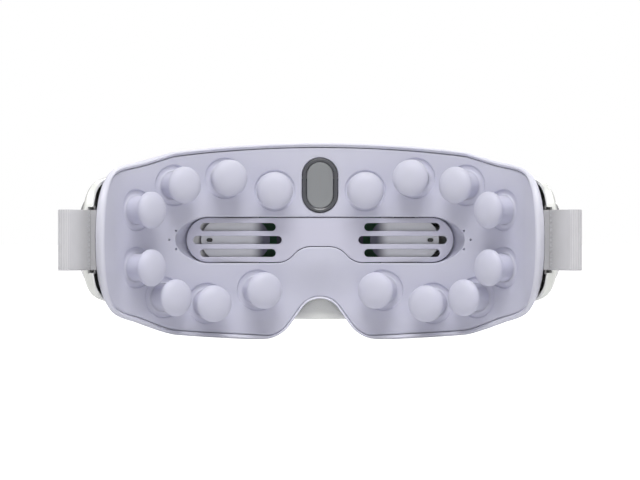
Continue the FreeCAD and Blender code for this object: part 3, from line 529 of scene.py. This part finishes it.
def webbing_material(name, colour):
    """Woven tape: ribs crossed by lengthwise yarns, with painted shade darkening the end at its slot."""
    material = node_material(name, colour, 0.85, drift=0.06, drift_scale=120, bump=0.2, sheen=0.3)
    nodes = material.node_tree.nodes
    link = material.node_tree.links.new
    shader = nodes["Principled BSDF"]
    coords = nodes.new("ShaderNodeTexCoord")
    parts = nodes.new("ShaderNodeSeparateXYZ")
    link(coords.outputs["UV"], parts.inputs["Vector"])
    waves = []
    for axis, pitch in (("X", 0.00085), ("Y", 0.0006)):
        turn = nodes.new("ShaderNodeMath")
        turn.operation = "MULTIPLY"
        turn.inputs[1].default_value = 2 * math.pi / pitch
        wave = nodes.new("ShaderNodeMath")
        wave.operation = "SINE"
        link(parts.outputs[axis], turn.inputs[0])
        link(turn.outputs[0], wave.inputs[0])
        waves.append(wave)
    weave = nodes.new("ShaderNodeMath")
    weave.operation = "MULTIPLY"
    link(waves[0].outputs[0], weave.inputs[0])
    link(waves[1].outputs[0], weave.inputs[1])
    height = nodes.new("ShaderNodeMath")
    height.operation = "MULTIPLY_ADD"
    height.inputs[1].default_value = 0.5
    link(weave.outputs[0], height.inputs[0])
    link(waves[0].outputs[0], height.inputs[2])
    bump = nodes.new("ShaderNodeBump")
    bump.inputs["Strength"].default_value = 0.5
    bump.inputs["Distance"].default_value = 0.00012
    link(height.outputs[0], bump.inputs["Height"])
    link(nodes["Bump"].outputs["Normal"], bump.inputs["Normal"])
    link(bump.outputs["Normal"], shader.inputs["Normal"])
    shade = nodes.new("ShaderNodeMapRange")
    shade.inputs["From Min"].default_value = -1.5
    shade.inputs["From Max"].default_value = 1.5
    shade.inputs["To Min"].default_value = 0.86
    shade.inputs["To Max"].default_value = 1.04
    tint = nodes.new("ShaderNodeVectorMath")
    tint.operation = "SCALE"
    # painted shade: the tape's colour falls to 0.62 over its first 22 mm from the slot end
    painted_slot_shade = nodes.new("ShaderNodeMapRange")
    painted_slot_shade.interpolation_type = "SMOOTHSTEP"
    painted_slot_shade.inputs["From Max"].default_value = 0.022
    painted_slot_shade.inputs["To Min"].default_value = 0.62
    scale = nodes.new("ShaderNodeMath")
    scale.operation = "MULTIPLY"
    link(height.outputs[0], shade.inputs["Value"])
    link(parts.outputs["X"], painted_slot_shade.inputs["Value"])
    link(shade.outputs["Result"], scale.inputs[0])
    link(painted_slot_shade.outputs["Result"], scale.inputs[1])
    link(nodes["Vector Math"].outputs["Vector"], tint.inputs[0])
    link(scale.outputs[0], tint.inputs["Scale"])
    link(tint.outputs["Vector"], shader.inputs["Base Color"])
    return material


def lens_material(colour, dark):
    """White light plate with painted shade that darkens it towards the nose."""
    material = node_material("lens_white", colour, 0.35, drift=0.01, coat=0.3)
    nodes = material.node_tree.nodes
    link = material.node_tree.links.new
    parts = nodes.new("ShaderNodeSeparateXYZ")
    away = nodes.new("ShaderNodeMath")
    away.operation = "ABSOLUTE"
    painted_nose_shade = nodes.new("ShaderNodeMapRange")
    # painted shade: the plate's colour turns to the dark shade colour inside 24.5 to 30.5 mm from the
    # middle
    painted_nose_shade.interpolation_type = "SMOOTHSTEP"
    painted_nose_shade.inputs["From Min"].default_value = 0.0245
    painted_nose_shade.inputs["From Max"].default_value = 0.0305
    mix = nodes.new("ShaderNodeMix")
    mix.data_type = "RGBA"
    mix.inputs["A"].default_value = (*dark, 1)
    link(nodes["Texture Coordinate"].outputs["Object"], parts.inputs["Vector"])
    link(parts.outputs["X"], away.inputs[0])
    link(away.outputs[0], painted_nose_shade.inputs["Value"])
    link(painted_nose_shade.outputs["Result"], mix.inputs["Factor"])
    link(nodes["Vector Math"].outputs["Vector"], mix.inputs["B"])
    link(mix.outputs["Result"], nodes["Principled BSDF"].inputs["Base Color"])
    return material


FINISH = {
    "cover_gloss_white": node_material(
        "cover_gloss_white", linear(238, 239, 235), 0.28, drift=0.008, bump=0.02, coat=0.6,
        rough_spread=0.03),
    "frame_lilac": node_material("frame_lilac", linear(220, 220, 232), 0.45, drift=0.015, soft=0.08),
    "panel_lilac": node_material("panel_lilac", linear(207, 206, 222), 0.5, drift=0.012),
    "silicone_lilac": node_material(
        "silicone_lilac", linear(206, 206, 221), 0.52, drift=0.02, soft=0.15, bump=0.12, sheen=0.08),
    "inner_dark_grey": node_material("inner_dark_grey", linear(92, 92, 106), 0.6, bump=0.3),
    "screw_steel": node_material("screw_steel", (0.5, 0.5, 0.5), 0.3, metallic=1.0),
    "ring_dark_grey": node_material("ring_dark_grey", linear(84, 85, 89), 0.32, coat=0.3, bump=0.05),
    "plate_grey": node_material("plate_grey", linear(148, 150, 152), 0.38, metallic=0.25, bump=0.08),
    "heater_film": node_material("heater_film", (0.55, 0.2, 0.05), 0.4, coat=0.4),
    "board_green": node_material("board_green", (0.02, 0.16, 0.06), 0.45, drift=0.2, drift_scale=300),
    "battery_foil": node_material("battery_foil", (0.6, 0.6, 0.62), 0.35, metallic=0.9, bump=0.4),
    "pump_black": node_material("pump_black", (0.02, 0.02, 0.022), 0.5, bump=0.4),
    "motor_steel": node_material("motor_steel", (0.55, 0.55, 0.56), 0.28, metallic=1.0, drift=0.08),
    "hose_clear": node_material("hose_clear", (0.75, 0.76, 0.76), 0.25, coat=0.3, soft=0.3),
    # the second colour is the painted shade at the plate's nose end
    "lens_white": lens_material(linear(246, 247, 250), linear(86, 86, 104)),
    "sensor_dark": node_material("sensor_dark", (0.05, 0.05, 0.055), 0.25, coat=0.5),
    "airbag_film": node_material(
        "airbag_film", (0.6, 0.62, 0.66), 0.35, soft=0.3, bump=0.5, grain_scale=900),
    "ring_chrome": node_material(
        "ring_chrome", (0.78, 0.78, 0.79), 0.08, metallic=1.0, drift=0.01, bump=0.01, rough_spread=0.03),
    "button_gloss_white": node_material(
        "button_gloss_white", linear(232, 233, 233), 0.18, drift=0.008, bump=0.015, coat=0.8,
        rough_spread=0.02),
    "strap_fabric": webbing_material("strap_fabric", linear(216, 215, 219)),
    "weight_brass": node_material("weight_brass", (0.6, 0.42, 0.15), 0.35, metallic=1.0),
}
THREAD = node_material("thread", linear(196, 196, 200), 0.8, sheen=0.4, bump=0.5)


# ---------------------------------------------------------------- cover
def cover_station(turn, inset):
    """Arc length, half height, closed half height and closing term at a turn from end to end."""
    s = (COVER_REACH - inset) * math.sin(turn)
    end = abs(math.sin(turn)) ** COVER_END_POWER
    half = cover_half(s) - inset
    return s, half, half * math.sqrt(max(0.0, 1 - end)), end


def cover_face(turn, inset, share):
    """Point of the cover's outer or inner face; share runs from -1 at the lower edge to 1."""
    s, half, closed, end = cover_station(turn, inset)
    depth = cover_depth(s)
    limit = math.pi / 2 - 0.5 / (math.sqrt(COVER_CROWN_POWER) * depth)
    t = math.sin(limit * share)
    z = closed * t
    fullness = abs(z / half) ** COVER_CROWN_POWER + end
    n = inset + (depth - inset) * (1 - math.sqrt(max(0.0, 1 - fullness ** 2)))
    z += COVER_LIFT * (1 - math.sin(turn) ** 2)
    if inset == 0:
        step = PARTING_STEP * smooth((PARTING_STEP_DEPTH - (depth - n)) / PARTING_STEP_BLEND)
        pull_s = abs(math.sin(turn)) ** (COVER_END_POWER - 1) * (1 if turn > 0 else -1)
        pull_z = t * 0.9
        size = max(1e-6, math.hypot(pull_s, pull_z))
        s -= step * pull_s / size
        z -= step * pull_z / size
        flat = smooth((BOSS_BLEND_END - math.hypot(abs(s) - BUTTON_S, z)) / BOSS_BLEND)
        n = n * (1 - flat) + BOSS_N * flat
    return at(s, n, z)


def cover_lip(turn, inset, drop, side):
    """Point on the cover's rear edge."""
    s, _, closed, _ = cover_station(turn, inset)
    return at(s, cover_depth(s) + drop, side * closed + COVER_LIFT * (1 - math.sin(turn) ** 2))


def build_cover():
    """Glossy cover: outer face, rounded rear edge and inner face, with a strap slot at each end."""
    along = 170
    across = 56
    lip = (
        (0.42, -0.3), (0.62, -0.08), (0.95, 0.0),
        (WALL - 0.45, 0.0), (WALL - 0.12, -0.12), (WALL, -0.42))
    rows = []
    for i in range(2 * along + 1):
        turn = math.pi / 2 * (i - along) / along
        shares = [1 - 2 * k / across for k in range(across + 1)]
        ring = [cover_face(turn, 0, x) for x in shares]
        ring += [cover_lip(turn, inset, drop, -1) for inset, drop in lip]
        ring += [cover_face(turn, WALL, -x) for x in shares]
        ring += [cover_lip(turn, inset, drop, 1) for inset, drop in reversed(lip)]
        rows.append(ring)
    cover = rows_piece("cover_shell", rows, FINISH["cover_gloss_white"], slot="cover_gloss_white")
    cut_boxes(cover, [slot_box(side) for _, side in SIDES])
    finish_mesh(cover, 35)
    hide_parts("front_cover")


def slot_box(side):
    """Corners of the box that opens a strap slot in the cover's rear edge."""
    corners = [(a * SLOT_HALF_LENGTH, b * SLOT_HALF_HEIGHT) for a, b in CORNERS]
    heading = along_curve(side * COVER_REACH)
    box = []
    for n in (COVER_SIDE_DEPTH - 1.9, COVER_SIDE_DEPTH + 2.6):
        middle = at(side * (COVER_REACH - 2), n, 0)
        box += [middle + heading * along + Vector((0, 0, up)) for along, up in corners]
    return box


def along_curve(s):
    """Direction of the plan curve at arc length s."""
    angle = plan(s)[2]
    return Vector((math.cos(angle), math.sin(angle), 0))


def cut_boxes(obj, boxes):
    """Cut eight-cornered boxes out of an object."""
    points, faces = [], []
    for box in boxes:
        a = len(points)
        points += [Vector(p) * MM for p in box]
        faces += [(a, a + 1, a + 2, a + 3), (a + 7, a + 6, a + 5, a + 4)]
        faces += [(a + k, a + k + 4, a + (k + 1) % 4 + 4, a + (k + 1) % 4) for k in range(4)]
    mesh = bpy.data.meshes.new("cutter")
    mesh.from_pydata(points, [], faces)
    cutter = bpy.data.objects.new("cutter", mesh)
    bpy.context.scene.collection.objects.link(cutter)
    finish_mesh(cutter, 30)
    cut = obj.modifiers.new("cut", "BOOLEAN")
    cut.operation = "DIFFERENCE"
    cut.solver = "EXACT"
    cut.object = cutter
    bake(obj)
    bpy.data.objects.remove(cutter)


def build_nose_web():
    """Light wall inside the cover behind the nose notch."""
    face = []
    for k in range(21):
        z = NOSE_WEB_BOTTOM + 0.58 * k
        up = z - NOSE_WEB_BOTTOM
        face.append((-7.8 - 1.6 * smooth(up / 9.0) * smooth(up / 4.0), z))
    rows = []
    for i in range(33):
        x = -24 + 1.5 * i
        row = [(x, y, z) for y, z in face]
        row += [(x, y - NOSE_WEB_THICKNESS, z) for y, z in reversed(face)]
        rows.append(row)
    rows_piece("nose_web", rows, FINISH["cover_gloss_white"], slot="cover_gloss_white", sharp=40)


# ---------------------------------------------------------------- rear frame
def frame_closing(turn):
    """Falls from 1 to 0 at the frame's end, which rounds it."""
    return math.sqrt(max(0.0, 1 - abs(math.sin(turn)) ** FRAME_POWER))


def rim_point(turn, inset, side):
    """Arc length and height on the rim's outline, moved in by inset on one side."""
    s = (FRAME_REACH - inset * PAD_SIDE_INSET / PAD_INSET) * math.sin(turn)
    half = rim_half(s) - inset
    if side < 0:
        half += CHEEK_BULGE * math.exp(-((abs(s) - CHEEK_S) / CHEEK_WIDTH) ** 2)
    return s, side * half * frame_closing(turn) - FRAME_DROP * (1 - math.sin(turn) ** 2)


def build_frame():
    """Rear frame: flare from the cover's edge, soft rim, and the groove beside the pad."""
    along = 210
    rows = []
    round_share = 0.42
    band = [(round_share * (1 - math.cos(a)), CREST_DEPTH * (math.sin(a) - 1))
            for a in [math.pi / 2 * k / 6 for k in range(1, 7)]]
    band += [(round_share + 0.58 * k / 5, -GROOVE_DEPTH * smooth(k / 5.0)) for k in range(1, 6)]
    for i in range(2 * along + 1):
        turn = math.pi / 2 * (i - along) / along
        row = []
        for side in (1, -1):
            s, top = rim_point(turn, 0, side)
            front = cover_depth(s) + PARTING_GAP
            crest = bowl_depth(s) + RIM_CREST - CREST_DEPTH
            base = side * (cover_half(s) - EDGE_STEP) * frame_closing(turn)
            base += COVER_LIFT * (1 - math.sin(turn) ** 2)
            path = [
                (front + 1.5, base - side * 1.6), (front, base - side * 1.6), (front, base - side * 0.25)]
            for k in range(15):
                a = math.pi / 2 * k / 14
                path.append((crest - (crest - front) * math.cos(a) + (0.25 if k == 0 else 0),
                             base + (top - base) * math.sin(a)))
            points = []
            for n, z in path:
                place = at(s, n, z)
                if side < 0:
                    place.z = max(place.z, notch_z(place.x, 0))
                place.y -= nose_dip(place.x, place.z) * smooth((n - front) / (crest - front + 1e-6))
                points.append(place)
            for share, fall in band:
                s_in, z_in = rim_point(turn, share * (PAD_INSET - SEAM), side)
                place = at(s_in, bowl_depth(s_in) + RIM_CREST + fall, z_in)
                if side < 0:
                    place.z = max(place.z, notch_z(place.x, share))
                place.y -= nose_dip(place.x, place.z)
                points.append(place)
            inner = at(s_in, bowl_depth(s_in) - 2.0, points[-1].z)
            inner.y -= nose_dip(inner.x, inner.z)
            points.append(inner)
            row += points if side > 0 else points[::-1]
        rows.append(row)
    points = [p for row in rows for p in row]
    size = len(rows[0])
    faces = [f for f in strips(len(rows), size, 0, False) if f[0] % size != size // 2 - 1]
    obj = piece("frame_shell", points, faces, FINISH["frame_lilac"], slot="frame_lilac", sharp=50)
    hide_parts("rear_frame")


# ---------------------------------------------------------------- pad
def base_u(x):
    """Distance along the bowl at x on the +x side."""
    if x <= BOWL_FLAT:
        return x
    if x <= BOWL_FLAT + BOWL_RADIUS * math.sin(BOWL_TURN):
        return BOWL_FLAT + BOWL_RADIUS * math.asin((x - BOWL_FLAT) / BOWL_RADIUS)
    angle = math.asin((x - BOWL_SIDE_X) / BOWL_SIDE_RADIUS)
    return BOWL_TURN_U + BOWL_SIDE_RADIUS * (angle - BOWL_TURN)


def moat(radius):
    """Height of the pad around a node: a lip at the neck, a shallow ring, then a rounded edge."""
    lip = 0.8 * math.exp(-(radius - NODE_HOLE) / 0.3)
    return lip - 0.62 * (1 - smooth((radius - 8.55) / 0.6))


def pad_outline(inset):
    """Loop around the pad in unrolled coordinates, moved in by inset."""
    steps = 210
    loop = []
    top = range(-steps, steps + 1)
    bottom = range(steps - 1, -steps, -1)
    for side, order in ((1, top), (-1, bottom)):
        for k in order:
            turn = math.pi / 2 * k / steps
            s, z = rim_point(turn, PAD_INSET + SEAM + inset, side)
            point = at(s, bowl_depth(s), z)
            if side < 0:
                z = max(z, notch_z(point.x, 1.15 + inset))
            loop.append((bowl_distance(point.x, point.y)[0], z))
    return loop


def panel_loop(grow):
    """Outline of the eye panel: round ends and a nose arch."""
    half = PANEL_HEIGHT + grow
    end_x = PANEL_LENGTH - PANEL_HEIGHT
    arch_top = PANEL_ARCH_TOP - grow
    radius = (half + arch_top) / (2 * (1 - math.cos(math.radians(PANEL_ARCH_DEGREES))))
    foot = PANEL_ARCH_FLAT + 2 * radius * math.sin(math.radians(PANEL_ARCH_DEGREES))
    right = []
    for k in range(41):
        a = math.radians(90 - 180 * k / 40)
        right.append((end_x + half * math.cos(a), half * math.sin(a)))
    for k in range(13):
        a = math.radians(PANEL_ARCH_DEGREES * k / 12)
        right.append((foot - radius * math.sin(a), -half + radius * (1 - math.cos(a))))
    for k in range(1, 13):
        a = math.radians(PANEL_ARCH_DEGREES * (1 - k / 12))
        right.append((PANEL_ARCH_FLAT + radius * math.sin(a), arch_top - radius * (1 - math.cos(a))))
    loop = right + [(-x, z) for x, z in reversed(right)]
    return fill_runs(loop, 1.4)


def pocket_loop(grow):
    """The eye panel's outline with its ends drawn out by the pockets beside them."""
    end_x = PANEL_LENGTH - PANEL_HEIGHT
    half = PANEL_HEIGHT + grow
    return [(math.copysign(abs(x) + POCKET * max(0.0, (abs(x) - end_x) / half) ** 2, x), z)
            for x, z in panel_loop(grow)]


def build_pad():
    """Soft pad with its window, node rings, sound holes and forehead window."""
    places = []
    for _, x, z, _ in NODES:
        u = base_u(x)
        places += [(u, z), (-u, z)]
    outline = [(pad_outline(i), h) for i, h in ((0.0, -0.55), (0.12, -0.25), (0.35, -0.06), (0.8, 0.0))]
    window = []
    for grow, h in ((0.3, -0.5), (0.42, -0.2), (0.65, -0.05), (1.1, 0.0)):
        loop = [(bowl_u(x), z) for x, z in pocket_loop(grow)]
        window.append((loop, h))
    forehead = [(capsule(*RING_SIZE, 0, FOREHEAD_Z, 0.2 + g), h)
                for g, h in ((0.0, -0.45), (0.15, -0.15), (0.5, 0.0))]
    holes = [window, forehead]
    for x, z in SOUND_HOLES:
        for sign in (1, -1):
            u = sign * bowl_u(x)
            holes.append([(circle(u, z, r, 16), h) for r, h in ((0.5, -0.12), (0.6, -0.03), (0.8, 0.0))])
    for u, z in places:
        rings = (NODE_HOLE, 6.45, 6.7, 7.0, 7.5, 8.1, 8.5, 8.7, 8.85, 9.0, 9.2)
        holes.append([(circle(u, z, r, 60), 0.0) for r in rings])

    def lift(u, z):
        near = min(math.hypot(u - a, z - b) for a, b in places)
        return moat(max(NODE_HOLE, near)) if near < 9.3 else 0.0

    def place(u, z, h):
        point = bowl(u, z, h)
        point.y -= nose_dip(point.x, z)
        return point

    points, faces = plate(outline, holes, lift, place, 1.5, PAD_DEPTH)
    edge = pocket_loop(0.3)
    foot = panel_loop(0.3)
    start = len(points)
    for k in range(7):
        share = k / 6
        for (x, z), (x_foot, z_foot) in zip(edge, foot):
            top = place(bowl_u(x), z, -0.5)
            low = Vector((x_foot, -2.4, z_foot))
            across = share ** 1.7
            down = 1 - (1 - share) ** 1.5
            points.append(Vector((
                top.x + (low.x - top.x) * across,
                top.y + (low.y - top.y) * down,
                top.z + (low.z - top.z) * across)))
    faces += strips(7, len(edge), start)
    pad = piece("pad_skin", points, faces, FINISH["silicone_lilac"], slot="silicone_lilac", sharp=55)
    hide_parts("face_pad")


def bowl_u(x):
    """Distance along the bowl at x, with the sign of x."""
    return math.copysign(base_u(abs(x)), x)


# ---------------------------------------------------------------- nodes
def node_profile():
    """Radius and height of a massage node: neck with a mould line, flared underside, full dome."""
    profile = [(0.0, NECK_FOOT), (5.6, NECK_FOOT), (NECK_RADIUS, NECK_FOOT + 0.5), (NECK_RADIUS, 0.0)]
    profile += [(NECK_RADIUS, 3.3), (NECK_RADIUS - 0.07, 3.45), (NECK_RADIUS, 3.6)]
    profile.append((NECK_RADIUS, NECK_TOP))
    flare = CAP_RADIUS - NECK_RADIUS - 0.1
    for k in range(1, 9):
        share = k / 8
        profile.append((NECK_RADIUS + flare * share ** 2.2, NECK_TOP + 2.5 * share))
    profile.append((CAP_RADIUS, DOME_BASE - 0.25))
    for k in range(19):
        a = math.pi / 2 * k / 18
        radius = CAP_RADIUS * math.cos(a) ** 0.86
        profile.append((radius, DOME_BASE + (NODE_HEIGHT - DOME_BASE) * math.sin(a) ** 1.02))
    return profile


def build_nodes():
    """Sixteen massage nodes, each on its own body."""
    profile = node_profile()
    for name, side in SIDES:
        for spot, x, z, lean in NODES:
            node = name + "_node_" + spot
            base = bowl(side * base_u(x), z)
            angle = math.radians(lean)
            axis = (-side * math.sin(angle), math.cos(angle), 0)
            cap = lathe("soft_" + node, profile, axis_matrix(base, axis), FINISH["silicone_lilac"],
                        72, body=node, slot="silicone_lilac", sharp=60)
            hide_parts(node)


# ---------------------------------------------------------------- eye panel and forehead contact
def build_panel():
    """Eye panel with rounded edges and three slots for each eye."""
    outline = [(panel_loop(-g), h) for g, h in ((0.0, -0.35), (0.08, -0.12), (0.3, 0.0))]
    holes = []
    for z, inner, outer in SLOTS:
        for sign in (1, -1):
            middle = sign * (inner + outer) / 2
            holes.append([(capsule(outer - inner, SLOT_HEIGHT, middle, z, g), h)
                          for g, h in ((0.0, -0.3), (0.07, -0.1), (0.26, 0.0))])

    def lift(x, z):
        return 0.0

    def place(x, z, h):
        return Vector((x, h, z))

    points, faces = plate(outline, holes, lift, place, 1.6, 1.9)
    panel = piece("eye_panel_face", points, faces, FINISH["panel_lilac"], slot="panel_lilac", sharp=50)
    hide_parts("eye_panel")


def build_forehead():
    """Dark bezel and grey contact plate on the forehead."""
    ring_rows = [(0.0, -2.8), (0.0, 0.6), (0.1, 0.9), (0.35, 1.08), (0.8, 1.1), (1.1, 0.98), (1.25, 0.8),
                 (1.55, 0.72), (1.72, 0.5), (1.75, -2.0)]
    rows = [[(x, y, z) for x, z in capsule(*RING_SIZE, 0, FOREHEAD_Z, -g)] for g, y in ring_rows]
    ring = rows_piece("forehead_bezel", rows, FINISH["ring_dark_grey"], ends=True,
                      slot="ring_dark_grey", sharp=50)
    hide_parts("forehead_ring")
    plate_rows = [(0.0, -2.0), (0.0, 0.35), (0.12, 0.58), (0.4, 0.7), (1.5, 0.78), (3.2, 0.86), (5.0, 0.9),
                  (5.79, 0.9)]
    rows = [[(x, y, z) for x, z in capsule(*PLATE_SIZE, 0, FOREHEAD_Z, -g)] for g, y in plate_rows]
    contact = rows_piece("forehead_contact", rows, FINISH["plate_grey"], slot="plate_grey", sharp=50)
    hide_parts("forehead_plate")


# ---------------------------------------------------------------- side buttons
def build_buttons():
    """Chrome ring and domed white button on each side."""
    ring_profile = [(15.55, -0.4), (15.55, 0.9)]
    ring_profile += [(16.9 + 1.35 * x, 0.9 + 0.95 * y) for x, y in arc(0, 0, 1, 175, 12, 16)]
    ring_profile += [(18.45, 0.75), (18.5, 0.0), (18.2, -0.4)]
    cap_profile = [(0.0, -3.3), (3.0, -3.3), (3.0, 0.95), (14.9, 0.95), (15.15, 1.1), (15.2, 1.3)]
    cap_profile += [(15.08, 1.45), (14.8, 1.56), (BUTTON_CROWN_RADIUS, BUTTON_CROWN_BASE)]
    for k in range(1, 13):
        a = math.pi / 2 * k / 12
        cap_profile.append((
            BUTTON_CROWN_RADIUS * math.cos(a), BUTTON_CROWN_BASE + BUTTON_CROWN * math.sin(a)))
    for name, side in SIDES:
        s = side * BUTTON_S
        angle = plan(s)[2]
        outward = (math.sin(angle), -math.cos(angle), 0)
        place = axis_matrix(at(s, BOSS_N, 0), outward)
        ring = lathe(name + "_chrome_ring", ring_profile, place, FINISH["ring_chrome"], 128, ends=True,
                     slot="ring_chrome", sharp=60)
        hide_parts(name + "_button_ring")
        cap = lathe(name + "_button_cap", cap_profile, place, FINISH["button_gloss_white"], 128,
                    body=name + "_button", slot="button_gloss_white", sharp=60)
        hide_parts(name + "_button")


# ---------------------------------------------------------------- straps
def tape(name, path, body, thick=STRAP_THICKNESS):
    """Flat woven tape along a plan path of (x, y) points, standing on its edge, with its length."""
    half = thick / 2
    low = -STRAP_WIDTH / 2
    section = [(-half, low + TAPE_EDGE), (-half * 0.6, low), (half * 0.6, low), (half, low + TAPE_EDGE)]
    steps = 12
    side = STRAP_WIDTH - 2 * TAPE_EDGE
    section += [(half, low + TAPE_EDGE + side * k / steps) for k in range(1, steps)]
    section += [(-a, -b) for a, b in section]
    rows = []
    uv = []
    run = 0.0
    for k, p in enumerate(path):
        before = path[max(0, k - 1)]
        after = path[min(len(path) - 1, k + 1)]
        tangent = (Vector(after) - Vector(before)).normalized()
        across = Vector((-tangent.y, tangent.x))
        run += math.dist(before, p) if k else 0.0
        rows.append([(p[0] + across.x * a, p[1] + across.y * a, z) for a, z in section])
        uv += [(run * MM, (z + a) * MM) for a, z in section]
    points = [p for row in rows for p in row]
    size = len(section)
    faces = strips(len(rows), size)
    faces += [tuple(range(size)), tuple(range(len(points) - size, len(points)))[::-1]]
    strap = piece(name, points, faces, FINISH["strap_fabric"], body=body, slot="strap_fabric",
                  sharp=60, uv=uv)
    return strap, run


def fold_path():
    """Plan path of the folded strap in its own frame: a outwards, b along the strap."""
    gap = FOLD_PITCH
    near = FOLD_NEAR
    far = FOLD_FAR
    path = [(0.0, b) for b in (0.3, 2.0, FOLD_START)]
    path += [(0.0, FOLD_START + (far - FOLD_START) * k / 12) for k in range(1, 12)]
    path += arc(2 * gap, far, 2 * gap, 180, 0, 14)
    path += [(4 * gap, far + (near - far) * k / 10) for k in range(1, 10)]
    path += arc(3.5 * gap, near, gap / 2, 0, -180, 8)
    path += [(3 * gap, near + (far - near) * k / 10) for k in range(1, 10)]
    path += arc(2 * gap, far, gap, 0, 180, 10)
    path += [(gap, far + (near - far) * k / 10) for k in range(1, 10)]
    path += arc(1.5 * gap, near, gap / 2, 180, 360, 8)
    path += [(2 * gap, near + (far - 0.9 - near) * k / 10) for k in range(1, 11)]
    return path


def build_straps():
    """Folded straps on their own bodies, the sewn tabs inside, and the stitching."""
    for name, side in SIDES:
        hinge = at(side * STRAP_HINGE_S, STRAP_N, 0)
        across = Vector((math.cos(STRAP_ANGLE) * side, -math.sin(STRAP_ANGLE)))
        forward = Vector((math.sin(STRAP_ANGLE) * side, math.cos(STRAP_ANGLE)))

        def local(a, b):
            return (hinge.x + across.x * a + forward.x * b, hinge.y + across.y * a + forward.y * b)

        path = [local(a, b) for a, b in fold_path()]
        strap, run = tape(name + "_webbing", path, name + "_strap")
        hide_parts(name + "_strap")
        stitches = stitch_rows(name + "_stitching", local, name + "_strap")
        bar = at(side * STRAP_BAR_S, STRAP_BAR_N, 0)
        heading = along_curve(side * STRAP_BAR_S)
        inward = Vector((-heading.y, heading.x, 0)) * side
        loop = []
        for k in range(17):
            a = math.radians(90 + 280 * k / 16)
            offset = heading * side * math.cos(a) * TAB_LOOP_RADIUS
            offset += inward * side * math.sin(a) * TAB_LOOP_RADIUS
            loop.append(tuple((bar + offset).xy))
        out = at(side * (STRAP_HINGE_S - 0.8), STRAP_N, 0)
        start = Vector(loop[0])
        run_in = [tuple(Vector(out.xy).lerp(start, k / 6)) for k in range(6)]
        tab, _ = tape(name + "_tab_webbing", run_in + loop, "mask", TAB_THICKNESS)
        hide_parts(name + "_strap_tab")


def stitch_rows(name, local, body):
    """Lock stitches across the strap beside the slot."""
    points = []
    faces = []
    ring = 6
    rows = 7
    for b in (1.3, 2.3, 3.3):
        for k in range(11):
            z_low = -STRAP_WIDTH / 2 + 1.4 + STITCH_PITCH * k
            start = len(points)
            for i in range(rows):
                share = i / (rows - 1)
                lift = STITCH_RISE * math.sin(math.pi * share)
                for j in range(ring):
                    turn = 2 * math.pi * j / ring
                    a = -STRAP_THICKNESS / 2 - lift + THREAD_RADIUS * math.cos(turn)
                    x, y = local(a, b + THREAD_RADIUS * math.sin(turn))
                    points.append((x, y, z_low + STITCH_LENGTH * share))
            faces += strips(rows, ring, start)
    return piece(name, points, faces, THREAD, body=body, sharp=60)


# ---------------------------------------------------------------- hidden parts
def finish_cad_nodes():
    """Give every shown CAD node the finish of its slot."""
    for entry in frame["record"]["subparts"]:
        obj = frame["nodes"][entry["node"]]
        if obj.hide_render:
            continue
        finish = FINISH[entry["material_slot"]]
        if not obj.data.materials:
            obj.data.materials.append(finish)
        for k in range(len(obj.data.materials)):
            obj.data.materials[k] = finish


# ---------------------------------------------------------------- stage
def camera_light(tree, lighting, seen, socket):
    """Give a backdrop one strength where it lights the object and another where it is seen itself."""
    path = tree.nodes.new("ShaderNodeLightPath")
    strength = tree.nodes.new("ShaderNodeMapRange")
    strength.inputs["To Min"].default_value = lighting
    strength.inputs["To Max"].default_value = seen
    tree.links.new(path.outputs["Is Camera Ray"], strength.inputs["Value"])
    tree.links.new(strength.outputs["Result"], socket)


def build_stage():
    """Plain pale floor, soft light and the camera behind the mask at eye level."""
    floor_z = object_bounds()[0][2] - 0.0002
    size = 30.0
    corners = [(x * size, y * size, floor_z) for x, y in CORNERS]
    mesh = bpy.data.meshes.new("floor")
    mesh.from_pydata(corners, [], [(0, 1, 2, 3)])
    floor = bpy.data.objects.new("floor", mesh)
    bpy.context.scene.collection.objects.link(floor)
    pale = node_material("floor_white", (0.8, 0.8, 0.8), 0.9, drift=0.004, bump=0.02)
    shader = pale.node_tree.nodes["Principled BSDF"]
    shader.inputs["Emission Color"].default_value = (1, 1, 1, 1)
    camera_light(pale.node_tree, 0.02, 0.8, shader.inputs["Emission Strength"])
    mesh.materials.append(pale)

    world = bpy.data.worlds.new("studio")
    bpy.context.scene.world = world
    world.use_nodes = True
    background = world.node_tree.nodes["Background"]
    background.inputs["Color"].default_value = (1, 1, 1, 1)
    camera_light(world.node_tree, 0.36, 1.0, background.inputs["Strength"])

    aim = Vector((0, 0.02, 0))
    lights = (
        ("key", (0.0, 0.55, 1.0), 0.7, 10.5), ("front_key", (-0.25, -1.1, 0.7), 0.9, 5.0),
        ("left_soft", (1.2, -0.3, 0.25), 0.6, 2.0), ("right_soft", (-1.2, -0.3, 0.25), 0.6, 2.0))
    for name, place, width, power in lights:
        data = bpy.data.lights.new(name, "AREA")
        data.size = width
        data.energy = power
        light = bpy.data.objects.new(name, data)
        light.location = place
        light.rotation_euler = (aim - Vector(place)).to_track_quat("-Z", "Y").to_euler()
        bpy.context.scene.collection.objects.link(light)

    camera = bpy.data.objects.new("camera", bpy.data.cameras.new("camera"))
    camera.data.sensor_width = 36
    camera.data.lens = 212.7
    camera.location = (0.0, 1.657, 0.0)
    camera.rotation_euler = (math.pi / 2, 0, math.pi)
    bpy.context.scene.collection.objects.link(camera)
    bpy.context.scene.camera = camera
    bpy.context.scene.view_settings.view_transform = "Standard"


build_stage()
build_cover()
build_nose_web()
build_frame()
build_pad()
build_nodes()
build_panel()
build_forehead()
build_buttons()
build_straps()
finish_cad_nodes()
